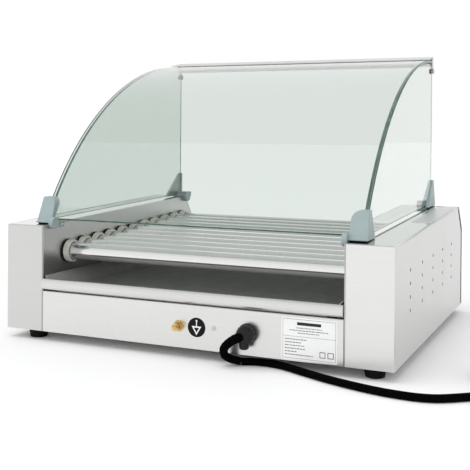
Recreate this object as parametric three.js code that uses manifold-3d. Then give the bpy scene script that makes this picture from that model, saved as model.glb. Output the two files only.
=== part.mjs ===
// Hot dog roller grill: two stainless side boxes joined by a drip tray and a panel front and rear, eleven
// driven heating rollers between them, and a bent glass guard clamped to the box tops.
// Millimetres. +X right, +Y towards the operator, +Z up. Origin on the table under the middle of the casing.
import * as THREE from 'three';
import { mergeVertices } from 'three/addons/utils/BufferGeometryUtils.js';
import Module from 'manifold-3d';

const wasm = await Module();
wasm.setup();

// ---------------------------------------------------------------- driving dimensions
const WIDTH = 580;
const DEPTH = 482;
const FOOT_HEIGHT = 14;
const SHEET = 1.5;
const GAP = 0.3;

const BOX_WIDTH = 64;
const FRONT_HEIGHT = 153;
const TOP_SLOPE = 0.0316;
const CHAMFER_DEPTH = 29.7;
const CHAMFER_HEIGHT = 129;
const INLET_HEIGHT = 59;
const REAR_PANEL_HEIGHT = 118;
const CHANNEL_DEPTH = 31;
const REAR_GAP = 5;
const WALL_SEAM = 0.6;

const VENT_COLUMNS = 5;
const VENT_ROWS = 4;
const VENT_FIRST_DEPTH = 84.6;
const VENT_COLUMN_PITCH = 74;
const VENT_TOP_HEIGHT = 113.4;
const VENT_ROW_PITCH = 17.7;
const VENT_RADIUS = 2.6;

const ROLLERS = 11;
const ROLLER_PITCH = 37;
const ROLLER_RISE = 0.039;
const TUBE_RADIUS = 12.5;
const TUBE_WALL = 1;
const FIRST_ROLLER_Y = 61.4;
const FIRST_ROLLER_Z = 110.2;
const COLLAR_RADIUS = 17.5;
const COLLAR_LENGTH = 12;
const COLLAR_BORE = 13.4;
const COLLAR_NECK = 14.3;
const WALL_HOLE = 15.2;

const TEETH = 16;
const TOOTH_TIP = 16.75;
const TOOTH_ROOT = 13.6;
const MOTOR_Y = 250;
const MOTOR_Z = 50;
const MOTOR_RADIUS = 30;
const SHAFT_RADIUS = 4;

const GLASS = 4;
const GUARD_RADIUS = 494.5;
const GUARD_CENTRE_Y = 459.7;
const GUARD_CENTRE_Z = -80.6;
const GUARD_BOTTOM = 160.3;
const GUARD_END_Y = 446;
const GUARD_INSET = 45.3;
const SIDE_GLASS_INSET = 48;
const SIDE_GLASS_REAR = 456;
const SIDE_GLASS_LIFT = 3.6;
const TRIM_FRONT = [424, 413.6];
const TRIM_REAR_HEIGHT = 419.8;
const TRIM_FLANGE_BOTTOM = 405;
const TRIM_TAB_BOTTOM = 394;

const CLAMP_OUTER = 39;
const CLAMP_WIDTH = 25;
const CLAMP_BASE = 155.2;
const CLAMP_TOP = 192.5;
const CLAMP_FOOT = 2;
const LOBE_START = 64.5;
const LOBE_END = 72;

const TRAY_DEPTH = 433;
const TRAY_HEIGHT = 80;
const LIP_BOTTOM = 61.5;
const LIP_TOP = 77;

const FOOT_INSETS = { left: 40, right: 30 };
const FOOT_END_DISTANCE = 24;
const FOOT_RADII = [15, 12.5];

const KNOB_X = 120;
const KNOB_HEIGHT = 66;
const KNOB_LENGTH = 15.5;
const KNOB_RADII = [19, 16.5];
const ROCKER_HEIGHT = 66;
const SWITCH_HALF = [11, 13.5];

const CORD_RADIUS = 4.75;
const COIL_MIDDLE_RADIUS = 52;
const COIL_HALF_WIDTH = 10;
const COIL_HEIGHT = 19.4;
const PLUG_RADIUS = 18.5;
const PLUG_BODY_LENGTH = 54;
const PLUG_LENGTH = 73;
const PLUG_PIN_RADIUS = 2.4;
const PLUG_PIN_X = 9.5;

// ---------------------------------------------------------------- places
// Heights below are counted from the underside of the casing and depths from its front face.
const left = -WIDTH / 2;
const front = -DEPTH / 2;
const Y = depth => front + depth;
const Z = height => FOOT_HEIGHT + height;
const inset = (side, distance) => side * (WIDTH / 2 - distance);
const topAt = depth => FRONT_HEIGHT + TOP_SLOPE * depth;
const rollerDepth = i => FIRST_ROLLER_Y + i * ROLLER_PITCH;
const rollerHeight = i => FIRST_ROLLER_Z + i * ROLLER_PITCH * ROLLER_RISE;

// ---------------------------------------------------------------- materials
function finish(color, roughness, metalness, extra = {}) {
  return new THREE.MeshStandardMaterial({ color, roughness, metalness, ...extra });
}
const STAINLESS = finish('#dcdcda', 0.35, 0.9);
const POLISHED = finish('#c9c9c7', 0.15, 1.0);
const PAN = finish('#8d8d8a', 0.3, 0.9);
const CLEAR = finish('#d2e0d8', 0.05, 0.0, { transparent: true, opacity: 0.35 });
const CLAMP = finish('#a3b2b4', 0.5, 0.0);
const RUBBER = finish('#141414', 0.7, 0.0);
const RING = finish('#dad8d0', 0.5, 0.0);
const BRASS = finish('#c8a55a', 0.3, 1.0);
const BLACK = finish('#1c1c1c', 0.45, 0.0);
const CARBON = finish('#77736b', 0.45, 0.9);

// ---------------------------------------------------------------- solids and booleans
function solid(geometry) {
  const plain = new THREE.BufferGeometry();
  plain.setAttribute('position', geometry.getAttribute('position'));
  if (geometry.index) plain.setIndex(geometry.index);
  const merged = mergeVertices(plain, 1e-4);
  return new wasm.Manifold(new wasm.Mesh({
    numProp: 3,
    vertProperties: new Float32Array(merged.getAttribute('position').array),
    triVerts: new Uint32Array(merged.index.array),
  }));
}

function geometryOf(manifold) {
  const mesh = manifold.getMesh();
  const geometry = new THREE.BufferGeometry();
  geometry.setAttribute('position', new THREE.BufferAttribute(new Float32Array(mesh.vertProperties), 3));
  geometry.setIndex(new THREE.BufferAttribute(new Uint32Array(mesh.triVerts), 1));
  return geometry;
}

function join(...solids) {
  return solids.reduce((whole, piece) => whole.add(piece));
}

function cut(whole, ...tools) {
  return tools.reduce((rest, tool) => rest.subtract(tool), whole);
}

function box(x0, x1, y0, y1, z0, z1) {
  const geometry = new THREE.BoxGeometry(Math.abs(x1 - x0), y1 - y0, z1 - z0);
  geometry.translate((x0 + x1) / 2, (y0 + y1) / 2, (z0 + z1) / 2);
  return solid(geometry);
}

function outline(points) {
  return new THREE.Shape(points.map(([a, b]) => new THREE.Vector2(a, b)));
}

function extrude(shape, depth) {
  return new THREE.ExtrudeGeometry(shape, { depth, bevelEnabled: false });
}

// A [y, z] outline pushed along X between x0 and x1.
function alongX(points, x0, x1) {
  const geometry = extrude(outline(points), Math.abs(x1 - x0));
  const turn = new THREE.Matrix4().makeBasis(
    new THREE.Vector3(0, 1, 0), new THREE.Vector3(0, 0, 1), new THREE.Vector3(1, 0, 0));
  geometry.applyMatrix4(turn);
  geometry.translate(Math.min(x0, x1), 0, 0);
  return solid(geometry);
}

// A round bar or bore along 'x', 'y' or 'z' from a to b, centred on the other two coordinates.
function round(axis, a, b, centre, radius, segments = 16, endRadius = radius) {
  const geometry = new THREE.CylinderGeometry(endRadius, radius, b - a, segments);
  if (axis === 'x') {
    geometry.rotateZ(-Math.PI / 2);
    geometry.translate((a + b) / 2, centre[0], centre[1]);
  } else if (axis === 'z') {
    geometry.rotateX(Math.PI / 2);
    geometry.translate(centre[0], centre[1], (a + b) / 2);
  } else {
    geometry.translate(centre[0], (a + b) / 2, centre[1]);
  }
  return solid(geometry);
}

function tubeAlong(points, radius, segments, steps) {
  const path = new THREE.CatmullRomCurve3(points.map(p => new THREE.Vector3(...p)), false, 'centripetal');
  const section = new THREE.Shape(Array.from({ length: segments }, (_, i) => {
    const angle = (i / segments) * 2 * Math.PI;
    return new THREE.Vector2(radius * Math.cos(angle), radius * Math.sin(angle));
  }));
  return new THREE.ExtrudeGeometry(section, { steps, extrudePath: path, bevelEnabled: false });
}

const group = new THREE.Group();

function add(name, shape, material, position = [0, 0, 0]) {
  const geometry = shape instanceof THREE.BufferGeometry ? shape : geometryOf(shape);
  const mesh = new THREE.Mesh(geometry, material);
  mesh.name = name;
  mesh.position.set(...position);
  group.add(mesh);
  return mesh;
}

// ---------------------------------------------------------------- casing
const SIDES = [['left', -1], ['right', 1]];

// The rear face and the chamfer above it, moved inwards by a distance square to each.
function rearCorner(distance) {
  const rise = topAt(DEPTH - CHAMFER_DEPTH) - CHAMFER_HEIGHT;
  const length = Math.hypot(CHAMFER_DEPTH, rise);
  return [DEPTH - distance, CHAMFER_HEIGHT - (distance * (length - rise)) / CHAMFER_DEPTH];
}

function chamferTop(distance) {
  const rise = topAt(DEPTH - CHAMFER_DEPTH) - CHAMFER_HEIGHT;
  return DEPTH - CHAMFER_DEPTH - (distance * Math.hypot(CHAMFER_DEPTH, rise)) / rise;
}

// Side view of a box: flat front, gently rising top, steep chamfer down to the rear face.
function sideOutline(bottom, trim, rear) {
  const [cornerY, cornerZ] = rearCorner(rear);
  const topY = chamferTop(rear);
  return [
    [Y(trim), Z(bottom)], [Y(cornerY), Z(bottom)], [Y(cornerY), Z(cornerZ)], [Y(topY), Z(topAt(topY) - trim)],
    [Y(trim), Z(topAt(trim) - trim)],
  ];
}

function vents(side) {
  const tools = [];
  for (let column = 0; column < VENT_COLUMNS; column += 1) {
    for (let row = 0; row < VENT_ROWS; row += 1) {
      const depth = VENT_FIRST_DEPTH + VENT_COLUMN_PITCH * column;
      const height = VENT_TOP_HEIGHT - VENT_ROW_PITCH * row;
      const x = inset(side, 0);
      tools.push(round('x', x - 3, x + 3, [Y(depth), Z(height)], VENT_RADIUS, 6));
    }
  }
  return tools;
}

// A cover stops short of the rear sheet, and the open joint between them lets warm air out.
function cover(side) {
  const inner = BOX_WIDTH - SHEET - GAP;
  const shell = alongX(sideOutline(0, 0, SHEET + REAR_GAP), inset(side, 0), inset(side, inner));
  const hollow = alongX(sideOutline(-5, SHEET, -5), inset(side, SHEET), inset(side, inner + 5));
  return cut(shell, hollow, ...vents(side));
}

function innerWall(side) {
  const bottom = SHEET + GAP;
  const profile = sideOutline(bottom, 0, SHEET + WALL_SEAM);
  const wall = alongX(profile, inset(side, BOX_WIDTH - SHEET), inset(side, BOX_WIDTH));
  const holes = [];
  for (let i = 0; i < ROLLERS; i += 1) {
    const x = inset(side, BOX_WIDTH);
    holes.push(round('x', x - 5, x + 5, [Y(rollerDepth(i)), Z(rollerHeight(i))], WALL_HOLE, 12));
  }
  return cut(wall, ...holes);
}

function basePlate() {
  const margin = SHEET + GAP;
  return box(left + margin, -left - margin, Y(margin), Y(DEPTH - margin), Z(0), Z(SHEET));
}

const TERMINAL = [285.7 - WIDTH / 2, 29];
const GLAND = [387.2 - WIDTH / 2, 28.7];

function inletPanel() {
  const half = WIDTH / 2 - BOX_WIDTH - GAP;
  const profile = [
    [Y(0), Z(0)], [Y(SHEET), Z(0)], [Y(SHEET), Z(INLET_HEIGHT - SHEET)], [Y(14), Z(INLET_HEIGHT - SHEET)],
    [Y(14), Z(INLET_HEIGHT)], [Y(0), Z(INLET_HEIGHT)],
  ];
  return cut(
    alongX(profile, -half, half),
    round('y', Y(-5), Y(5), [TERMINAL[0], Z(TERMINAL[1])], 3.6, 12),
    round('y', Y(-5), Y(5), [GLAND[0], Z(GLAND[1])], 8.6, 16),
  );
}

// The rear sheet covers the chamfered ends of both boxes and folds forward between them over the controls.
function controlPanel() {
  const [innerY, innerZ] = rearCorner(SHEET);
  const boxEnd = [
    [Y(DEPTH - SHEET), Z(0)], [Y(DEPTH), Z(0)], [Y(DEPTH), Z(CHAMFER_HEIGHT)],
    [Y(chamferTop(0)), Z(topAt(chamferTop(0)))], [Y(chamferTop(SHEET)), Z(topAt(chamferTop(SHEET)))],
    [Y(innerY), Z(innerZ)],
  ];
  const channelFront = DEPTH - CHANNEL_DEPTH;
  const middle = [
    [Y(DEPTH - SHEET), Z(0)], [Y(DEPTH), Z(0)], [Y(DEPTH), Z(REAR_PANEL_HEIGHT)],
    [Y(channelFront), Z(REAR_PANEL_HEIGHT)], [Y(channelFront), Z(62)], [Y(channelFront + SHEET), Z(62)],
    [Y(channelFront + SHEET), Z(REAR_PANEL_HEIGHT - SHEET)], [Y(DEPTH - SHEET), Z(REAR_PANEL_HEIGHT - SHEET)],
  ];
  const half = WIDTH / 2 - BOX_WIDTH - GAP;
  const rim = box(-half - 5, half + 5, Y(DEPTH - SHEET), Y(DEPTH), Z(0), Z(REAR_PANEL_HEIGHT));
  return cut(
    join(
      alongX(boxEnd, inset(-1, 0), inset(-1, BOX_WIDTH)),
      alongX(boxEnd, inset(1, 0), inset(1, BOX_WIDTH)),
      alongX(middle, -half, half),
      rim,
    ),
    round('y', Y(DEPTH - 5), Y(DEPTH + 5), [-KNOB_X, Z(KNOB_HEIGHT)], 5, 12),
    round('y', Y(DEPTH - 5), Y(DEPTH + 5), [KNOB_X, Z(KNOB_HEIGHT)], 5, 12),
    box(-11.4, 11.4, Y(DEPTH - 5), Y(DEPTH + 5), Z(ROCKER_HEIGHT - 13.9), Z(ROCKER_HEIGHT + 13.9)),
  );
}

add('base_plate', basePlate(), STAINLESS);
for (const [name, side] of SIDES) {
  add(`${name}_cover`, cover(side), STAINLESS);
  add(`${name}_inner_wall`, innerWall(side), STAINLESS);
}
add('inlet_panel', inletPanel(), STAINLESS);
add('control_panel', controlPanel(), STAINLESS);

const FOOT_DEPTHS = [['front', FOOT_END_DISTANCE], ['rear', DEPTH - FOOT_END_DISTANCE]];
for (const [end, depth] of FOOT_DEPTHS) {
  for (const [name, side] of SIDES) {
    const foot = new THREE.CylinderGeometry(...FOOT_RADII, FOOT_HEIGHT - GAP, 20);
    foot.rotateX(Math.PI / 2);
    const x = inset(side, FOOT_INSETS[name]);
    add(`foot_${end}_${name}`, foot, RUBBER, [x, Y(depth), (FOOT_HEIGHT - GAP) / 2]);
  }
}

// ---------------------------------------------------------------- glass guard
const guardCentre = [Y(GUARD_CENTRE_Y), Z(GUARD_CENTRE_Z)];

function guardPoint(radius, angle) {
  return [guardCentre[0] - radius * Math.cos(angle), guardCentre[1] + radius * Math.sin(angle)];
}

function guardArc(radius, from, to, steps) {
  return Array.from({ length: steps + 1 }, (_, i) => guardPoint(radius, from + ((to - from) * i) / steps));
}

const guardStart = Math.asin((GUARD_BOTTOM - GUARD_CENTRE_Z) / GUARD_RADIUS);
const guardEnd = Math.acos((GUARD_CENTRE_Y - GUARD_END_Y) / GUARD_RADIUS);

function curvedGlass() {
  const outer = guardArc(GUARD_RADIUS, guardStart, guardEnd, 20);
  const inner = guardArc(GUARD_RADIUS - GLASS, guardStart, guardEnd, 20).reverse();
  return alongX([...outer, ...inner], inset(-1, GUARD_INSET), inset(1, GUARD_INSET));
}

function sideGlass(side) {
  const radius = GUARD_RADIUS - GLASS - 0.6;
  const start = Math.asin((topAt(34) + SIDE_GLASS_LIFT - GUARD_CENTRE_Z) / radius);
  const end = Math.acos((GUARD_CENTRE_Y - SIDE_GLASS_REAR) / radius);
  const corner = [Y(SIDE_GLASS_REAR), Z(topAt(SIDE_GLASS_REAR) + SIDE_GLASS_LIFT)];
  return alongX([...guardArc(radius, start, end, 20), corner],
    inset(side, SIDE_GLASS_INSET), inset(side, SIDE_GLASS_INSET + GLASS));
}

// Folded strip along the top edge: it rises to the rear and turns down behind the side glasses.
function topTrim() {
  const rear = SIDE_GLASS_REAR + GAP;
  const [frontY, frontZ] = [Y(TRIM_FRONT[0]), Z(TRIM_FRONT[1])];
  const strip = [
    [frontY, frontZ], [Y(rear), Z(TRIM_REAR_HEIGHT)], [Y(rear), Z(TRIM_FLANGE_BOTTOM)],
    [Y(rear + SHEET), Z(TRIM_FLANGE_BOTTOM)], [Y(rear + SHEET), Z(TRIM_REAR_HEIGHT + 1.8)],
    [frontY, frontZ + SHEET],
  ];
  const tab = [
    [Y(rear - 9.3), Z(TRIM_REAR_HEIGHT - 2.3)], [Y(rear - 5.8), Z(TRIM_TAB_BOTTOM)],
    [Y(rear + SHEET), Z(TRIM_TAB_BOTTOM)], [Y(rear + SHEET), Z(TRIM_REAR_HEIGHT + 0.2)],
  ];
  const outerFace = SIDE_GLASS_INSET - GAP;
  return join(
    alongX(strip, inset(-1, outerFace - SHEET), inset(1, outerFace - SHEET)),
    alongX(tab, inset(-1, outerFace - SHEET), inset(-1, outerFace)),
    alongX(tab, inset(1, outerFace - SHEET), inset(1, outerFace)),
  );
}

function rectangle(left, right, bottom, top) {
  return [[left, bottom], [right, bottom], [right, top], [left, top]];
}

// Round lobe of a clamp, hooked over the inner wall.
function lobe(side, depth, height, radius) {
  const ends = [inset(side, LOBE_START), inset(side, LOBE_END)];
  return round('x', Math.min(...ends), Math.max(...ends), [Y(depth), Z(height)], radius, 20);
}

// Front clamp: a leaning plate outside the bent glass, a web behind it, a base under the glass edges and a
// round lobe that hooks over the inner wall.
function frontClamp(side) {
  const low = Math.asin((CLAMP_BASE + 0.4 - GUARD_CENTRE_Z) / GUARD_RADIUS);
  const high = Math.asin((CLAMP_TOP - GUARD_CENTRE_Z) / GUARD_RADIUS);
  const plate = [
    ...guardArc(GUARD_RADIUS + 6.5, low, high, 3),
    ...guardArc(GUARD_RADIUS + 0.5, low, high, 3).reverse(),
  ];
  const [front, rear] = [Y(21), Y(54)];
  const web = [
    [front, Z(CLAMP_BASE)], [rear, Z(CLAMP_BASE)], [Y(49), Z(CLAMP_TOP - 2)], [Y(44), Z(CLAMP_TOP + 2)],
  ];
  const base = rectangle(Y(16), rear, Z(CLAMP_BASE), Z(CLAMP_BASE + CLAMP_FOOT));
  const tab = rectangle(Y(20), Y(48), Z(147.5), Z(CLAMP_BASE + CLAMP_FOOT));
  return join(
    alongX(plate, inset(side, CLAMP_OUTER), inset(side, CLAMP_OUTER + CLAMP_WIDTH)),
    alongX(web, inset(side, CLAMP_OUTER), inset(side, GUARD_INSET - 0.4)),
    alongX(base, inset(side, CLAMP_OUTER), inset(side, LOBE_END)),
    alongX(tab, inset(side, LOBE_START), inset(side, LOBE_START + 3)),
    lobe(side, 19.5, 155.5, 8.5),
  );
}

// Rear clamp: a triangular fin outside the side glass, a stop behind it and the same kind of hooked lobe.
function rearClamp(side) {
  const [front, rear] = [Y(405), Y(461)];
  const [bottom, top] = [Z(168), Z(211)];
  const stopFront = Y(SIDE_GLASS_REAR + 0.4);
  const fin = [[front, bottom], [rear, bottom], [rear, top], [Y(453), top]];
  const base = rectangle(Y(436), rear, bottom, bottom + CLAMP_FOOT);
  const stop = rectangle(stopFront, rear, bottom, top);
  const block = rectangle(Y(440), rear, bottom, bottom + 8);
  const finInner = SIDE_GLASS_INSET - 0.4;
  const blockStart = SIDE_GLASS_INSET + GLASS + 0.4;
  return join(
    alongX(fin, inset(side, finInner - 6), inset(side, finInner)),
    alongX(base, inset(side, finInner - 6), inset(side, LOBE_END)),
    alongX(stop, inset(side, finInner - 6), inset(side, blockStart)),
    alongX(block, inset(side, blockStart), inset(side, LOBE_END)),
    lobe(side, 449, 167, 9),
  );
}

add('curved_glass', curvedGlass(), CLEAR);
add('top_trim', topTrim(), STAINLESS);
for (const [name, side] of SIDES) {
  add(`${name}_side_glass`, sideGlass(side), CLEAR);
  add(`front_${name}_clamp`, frontClamp(side), CLAMP);
  add(`rear_${name}_clamp`, rearClamp(side), CLAMP);
}

// ---------------------------------------------------------------- drip tray
// Shallow pan with a rolled lip along its front edge, which is also its handle.
function dripTray() {
  const half = WIDTH / 2 - BOX_WIDTH - 2;
  const bottom = Z(INLET_HEIGHT + 1);
  const above = Z(TRAY_HEIGHT + 20);
  const lipMiddle = (LIP_BOTTOM + LIP_TOP) / 2;
  const pan = box(-half, half, Y(0), Y(TRAY_DEPTH), bottom, Z(TRAY_HEIGHT));
  const hollow = box(-half + SHEET, half - SHEET, Y(SHEET), Y(TRAY_DEPTH - SHEET), bottom + SHEET, above);
  const lip = [
    [Y(SHEET), Z(LIP_BOTTOM)], [Y(-1), Z(LIP_BOTTOM)], [Y(-4), Z(lipMiddle - 5)], [Y(-5), Z(lipMiddle)],
    [Y(-4), Z(lipMiddle + 5)], [Y(-1), Z(LIP_TOP)], [Y(SHEET), Z(LIP_TOP)],
  ];
  const frontCut = box(-half - 5, half + 5, Y(-1), Y(SHEET + 1), Z(LIP_TOP), above);
  return cut(join(cut(pan, hollow), alongX(lip, -half, half)), frontCut);
}

add('drip_tray', dripTray(), PAN);

// ---------------------------------------------------------------- rollers, bearings and heaters
const TUBE_LEFT = inset(-1, 48);
const TUBE_RIGHT = inset(1, 40);
const SPROCKET_X = inset(1, 54.5);
const SPROCKET_WIDTH = 3;

function rollerTube() {
  const length = TUBE_RIGHT - TUBE_LEFT;
  const inner = TUBE_RADIUS - TUBE_WALL;
  const profile = [[inner, 0], [TUBE_RADIUS, 0], [TUBE_RADIUS, length], [inner, length], [inner, 0]];
  const tube = new THREE.LatheGeometry(profile.map(([r, h]) => new THREE.Vector2(r, h)), 16);
  tube.rotateZ(-Math.PI / 2);
  return tube;
}

// Toothed wheel: each pitch is a flat tip, then a V down to the root.
function sprocketOutline() {
  const points = [];
  const pitch = (2 * Math.PI) / TEETH;
  for (let tooth = 0; tooth < TEETH; tooth += 1) {
    const middle = tooth * pitch;
    for (const [turn, radius] of [[-0.12, TOOTH_TIP], [0.12, TOOTH_TIP], [0.5, TOOTH_ROOT]]) {
      points.push([radius * Math.cos(middle + turn * pitch), radius * Math.sin(middle + turn * pitch)]);
    }
  }
  return points;
}

function wheel() {
  return alongX(sprocketOutline(), 0, SPROCKET_WIDTH);
}

for (let i = 0; i < ROLLERS; i += 1) {
  const number = String(i + 1).padStart(2, '0');
  const place = [Y(rollerDepth(i)), Z(rollerHeight(i))];
  add(`roller_${number}`, rollerTube(), POLISHED, [TUBE_LEFT, ...place]);
  const bore = round('x', -5, SPROCKET_WIDTH + 5, [0, 0], TUBE_RADIUS + 0.35, 16);
  add(`sprocket_${number}`, cut(wheel(), bore), CARBON, [SPROCKET_X, ...place]);
}

// All collars of one wall: a flange each on the tray side, a neck through the wall and a shared strip behind.
function bearingStrip(side) {
  const wallFace = BOX_WIDTH + 0.4;
  const flange = [inset(side, wallFace), inset(side, BOX_WIDTH + COLLAR_LENGTH)].sort((a, b) => a - b);
  const neck = [inset(side, BOX_WIDTH - 4), inset(side, wallFace)].sort((a, b) => a - b);
  const centres = Array.from({ length: ROLLERS }, (_, i) => [Y(rollerDepth(i)), Z(rollerHeight(i))]);
  const [first, last] = [centres[0], centres[ROLLERS - 1]];
  const strip = alongX([
    [first[0] - 16, first[1] - 15], [last[0] + 16, last[1] - 15], [last[0] + 16, last[1] + 15],
    [first[0] - 16, first[1] + 15],
  ], inset(side, BOX_WIDTH - SHEET - 2.6), inset(side, BOX_WIDTH - SHEET - GAP));
  const collars = centres.flatMap(centre => [
    round('x', ...flange, centre, COLLAR_RADIUS, 14), round('x', ...neck, centre, COLLAR_NECK, 12),
  ]);
  const reach = 20;
  const [from, to] = [Math.min(...neck, ...flange) - reach, Math.max(...neck, ...flange) + reach];
  const bores = centres.map(centre => round('x', from, to, centre, COLLAR_BORE, 12));
  return cut(join(strip, ...collars), ...bores);
}

// Eleven rod elements, one inside each tube, held by a bracket at each end.
function heaterRack() {
  const first = [Y(rollerDepth(0)), Z(rollerHeight(0))];
  const last = [Y(rollerDepth(ROLLERS - 1)), Z(rollerHeight(ROLLERS - 1))];
  const profile = [
    [first[0] - 12, first[1] - 8], [last[0] + 12, last[1] - 8], [last[0] + 12, last[1] + 8],
    [first[0] - 12, first[1] + 8],
  ];
  const ends = [inset(-1, 38), inset(1, 22)];
  const rods = Array.from({ length: ROLLERS }, (_, i) =>
    round('x', ends[0] - 5, ends[1] + 5, [Y(rollerDepth(i)), Z(rollerHeight(i))], 4, 8));
  return join(alongX(profile, ends[0] - 2, ends[0]), alongX(profile, ends[1], ends[1] + 2), ...rods);
}

for (const [name, side] of SIDES) add(`${name}_bearing_strip`, bearingStrip(side), RING);
add('heater_rack', heaterRack(), CARBON);

// ---------------------------------------------------------------- chain drive
const motorPlace = [Y(MOTOR_Y), Z(MOTOR_Z)];

// Outline of a belt drawn tight round the first roller's wheel, the last one's and the motor's.
function beltOutline(radius) {
  const centres = [
    [Y(rollerDepth(0)), Z(rollerHeight(0))], motorPlace,
    [Y(rollerDepth(ROLLERS - 1)), Z(rollerHeight(ROLLERS - 1))],
  ];
  const points = [];
  centres.forEach((centre, i) => {
    const before = centres[(i + 2) % 3];
    const after = centres[(i + 1) % 3];
    const from = Math.atan2(centre[1] - before[1], centre[0] - before[0]) - Math.PI / 2;
    let to = Math.atan2(after[1] - centre[1], after[0] - centre[0]) - Math.PI / 2;
    if (to < from) to += 2 * Math.PI;
    for (let step = 0; step <= 6; step += 1) {
      const angle = from + ((to - from) * step) / 6;
      points.push([centre[0] + radius * Math.cos(angle), centre[1] + radius * Math.sin(angle)]);
    }
  });
  return points;
}

function driveChain() {
  const middle = SPROCKET_X + SPROCKET_WIDTH / 2;
  return cut(
    alongX(beltOutline(TOOTH_TIP + 3.4), middle - 2.5, middle + 2.5),
    alongX(beltOutline(TOOTH_TIP + 0.9), middle - 5, middle + 5),
  );
}

const MOTOR_FACE = inset(1, 46);

function gearMotor() {
  const half = MOTOR_RADIUS + 5;
  const [low, high] = [motorPlace[0] - half, motorPlace[0] + half];
  return join(
    box(MOTOR_FACE, MOTOR_FACE + 3, low, high, Z(SHEET + GAP), motorPlace[1] + half),
    round('x', MOTOR_FACE + 2, inset(1, 8), motorPlace, MOTOR_RADIUS, 24),
  );
}

// The motor's wheel and the output shaft that it is fixed to turn as one.
function motorWheel() {
  return join(wheel(), round('x', -3, MOTOR_FACE - GAP - SPROCKET_X, [0, 0], SHAFT_RADIUS, 12));
}

add('drive_chain', driveChain(), CARBON);
add('motor_sprocket', motorWheel(), CARBON, [SPROCKET_X, ...motorPlace]);
add('gear_motor', gearMotor(), CARBON);

// ---------------------------------------------------------------- controls and wiring
function knob() {
  const grip = new THREE.CylinderGeometry(KNOB_RADII[1], KNOB_RADII[0], KNOB_LENGTH, 24);
  const pointer = box(-3, 3, 0, KNOB_LENGTH / 2, 0, KNOB_RADII[0] - 0.4);
  return cut(join(solid(grip), pointer), round('y', -10, 3, [0, 0], 3.5, 10));
}

function thermostat(x) {
  const centre = [x, Z(KNOB_HEIGHT)];
  return join(
    round('y', Y(DEPTH - SHEET - GAP - 24), Y(DEPTH - SHEET - GAP), centre, 16, 20),
    round('y', Y(DEPTH - 5), Y(DEPTH + 9), centre, 3, 10),
  );
}

for (const [name, side] of SIDES) {
  add(`${name}_thermostat`, thermostat(side * KNOB_X), CARBON);
  add(`${name}_knob`, knob(), BLACK, [side * KNOB_X, Y(DEPTH + GAP + KNOB_LENGTH / 2), Z(KNOB_HEIGHT)]);
}

const ROCKER_TILT = THREE.MathUtils.degToRad(-9);

function switchBody() {
  const [halfX, halfZ] = SWITCH_HALF;
  const z = Z(ROCKER_HEIGHT);
  return cut(
    join(
      box(-halfX, halfX, Y(DEPTH - 24), Y(DEPTH + 1), z - halfZ, z + halfZ),
      box(-halfX - 2, halfX + 2, Y(DEPTH + GAP), Y(DEPTH + 2.3), z - halfZ - 2, z + halfZ + 2),
    ),
    box(-halfX + 1.5, halfX - 1.5, Y(DEPTH - 12), Y(DEPTH + 5), z - halfZ + 1.5, z + halfZ - 1.5),
  );
}

function rocker() {
  const profile = [[-5, -8], [-1, -10.5], [3.5, -10.5], [2.4, 0], [3.5, 10.5], [-1, 10.5], [-5, 8]];
  return alongX(profile, -SWITCH_HALF[0] + 2.1, SWITCH_HALF[0] - 2.1);
}

add('switch_body', switchBody(), BLACK);
add('power_rocker', rocker(), BLACK, [0, Y(DEPTH), Z(ROCKER_HEIGHT)]).rotation.x = ROCKER_TILT;

function terminalBlock() {
  const x = [inset(-1, 44), inset(-1, 20)];
  const block = box(x[0], x[1], Y(60), Y(130), Z(SHEET + GAP), Z(20));
  const grooves = [75, 90, 105].map(depth => box(x[0] - 1, x[1] + 1, Y(depth), Y(depth + 3), Z(12), Z(30)));
  return cut(block, ...grooves);
}

function earthTerminal() {
  const centre = [TERMINAL[0], Z(TERMINAL[1])];
  return join(
    round('y', Y(-16), Y(8), centre, 3, 12),
    round('y', Y(-2), Y(-GAP), centre, 8, 20),
    round('y', Y(-8), Y(-1.5), centre, 6.4, 6),
    round('y', Y(SHEET + GAP), Y(6), centre, 6.4, 6),
  );
}

add('terminal_block', terminalBlock(), BLACK);
add('earth_terminal', earthTerminal(), BRASS);

// ---------------------------------------------------------------- mains cord
// The gland's curved sleeve turns the cord down to the table; from there it runs along the casing and away,
// and the rest of it lies in a round coil of two layers with the plug beside it.
const SLEEVE = [
  [96, Y(-14), 42], [84, Y(-19), 36.5], [73, Y(-21), 26], [71, Y(-16), 16], [77, Y(-7), 8.8],
  [87, Y(-0.5), 5.6],
];

const CORD_ROUTE = [
  [88, Y(0.1), 5.15], [98, Y(5), 4.9], [110, Y(8), 4.85], [121, Y(9), 4.85], [134, Y(7), 4.85],
  [147, Y(3), 4.85], [172, Y(-9), 4.85], [210, Y(-27), 4.85], [250, Y(-42), 4.85], [286, Y(-52), 4.85],
  [307, Y(-55), 4.85], [327, Y(-56), 4.85], [345, Y(-53), 4.85], [358, Y(-47), 4.85], [371, Y(-38), 4.85],
  [385, Y(-27), 4.85], [400, Y(-15), 4.85], [414, Y(-4), 4.85], [428, Y(7), 4.85], [441.5, Y(17.5), 4.85],
];

function cableGland() {
  const centre = [GLAND[0], Z(GLAND[1])];
  return join(
    round('y', Y(-4), Y(-GAP), centre, 13.5, 24),
    round('y', Y(-18), Y(-3), centre, 10.5, 20, 12.5),
    round('y', Y(-5), Y(12), centre, 8, 16),
    round('y', Y(SHEET + GAP), Y(7), centre, 12, 6),
    round('z', centre[1] - 16, centre[1], [centre[0] - 1, Y(-11)], 4.5, 12),
    solid(tubeAlong(SLEEVE, 5.5, 10, 14)),
  );
}

add('cable_gland', cableGland(), BLACK);
add('mains_cord', tubeAlong(CORD_ROUTE, CORD_RADIUS, 8, 26), RUBBER);

const COIL_CENTRE = [435.7, Y(85.6)];

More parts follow.
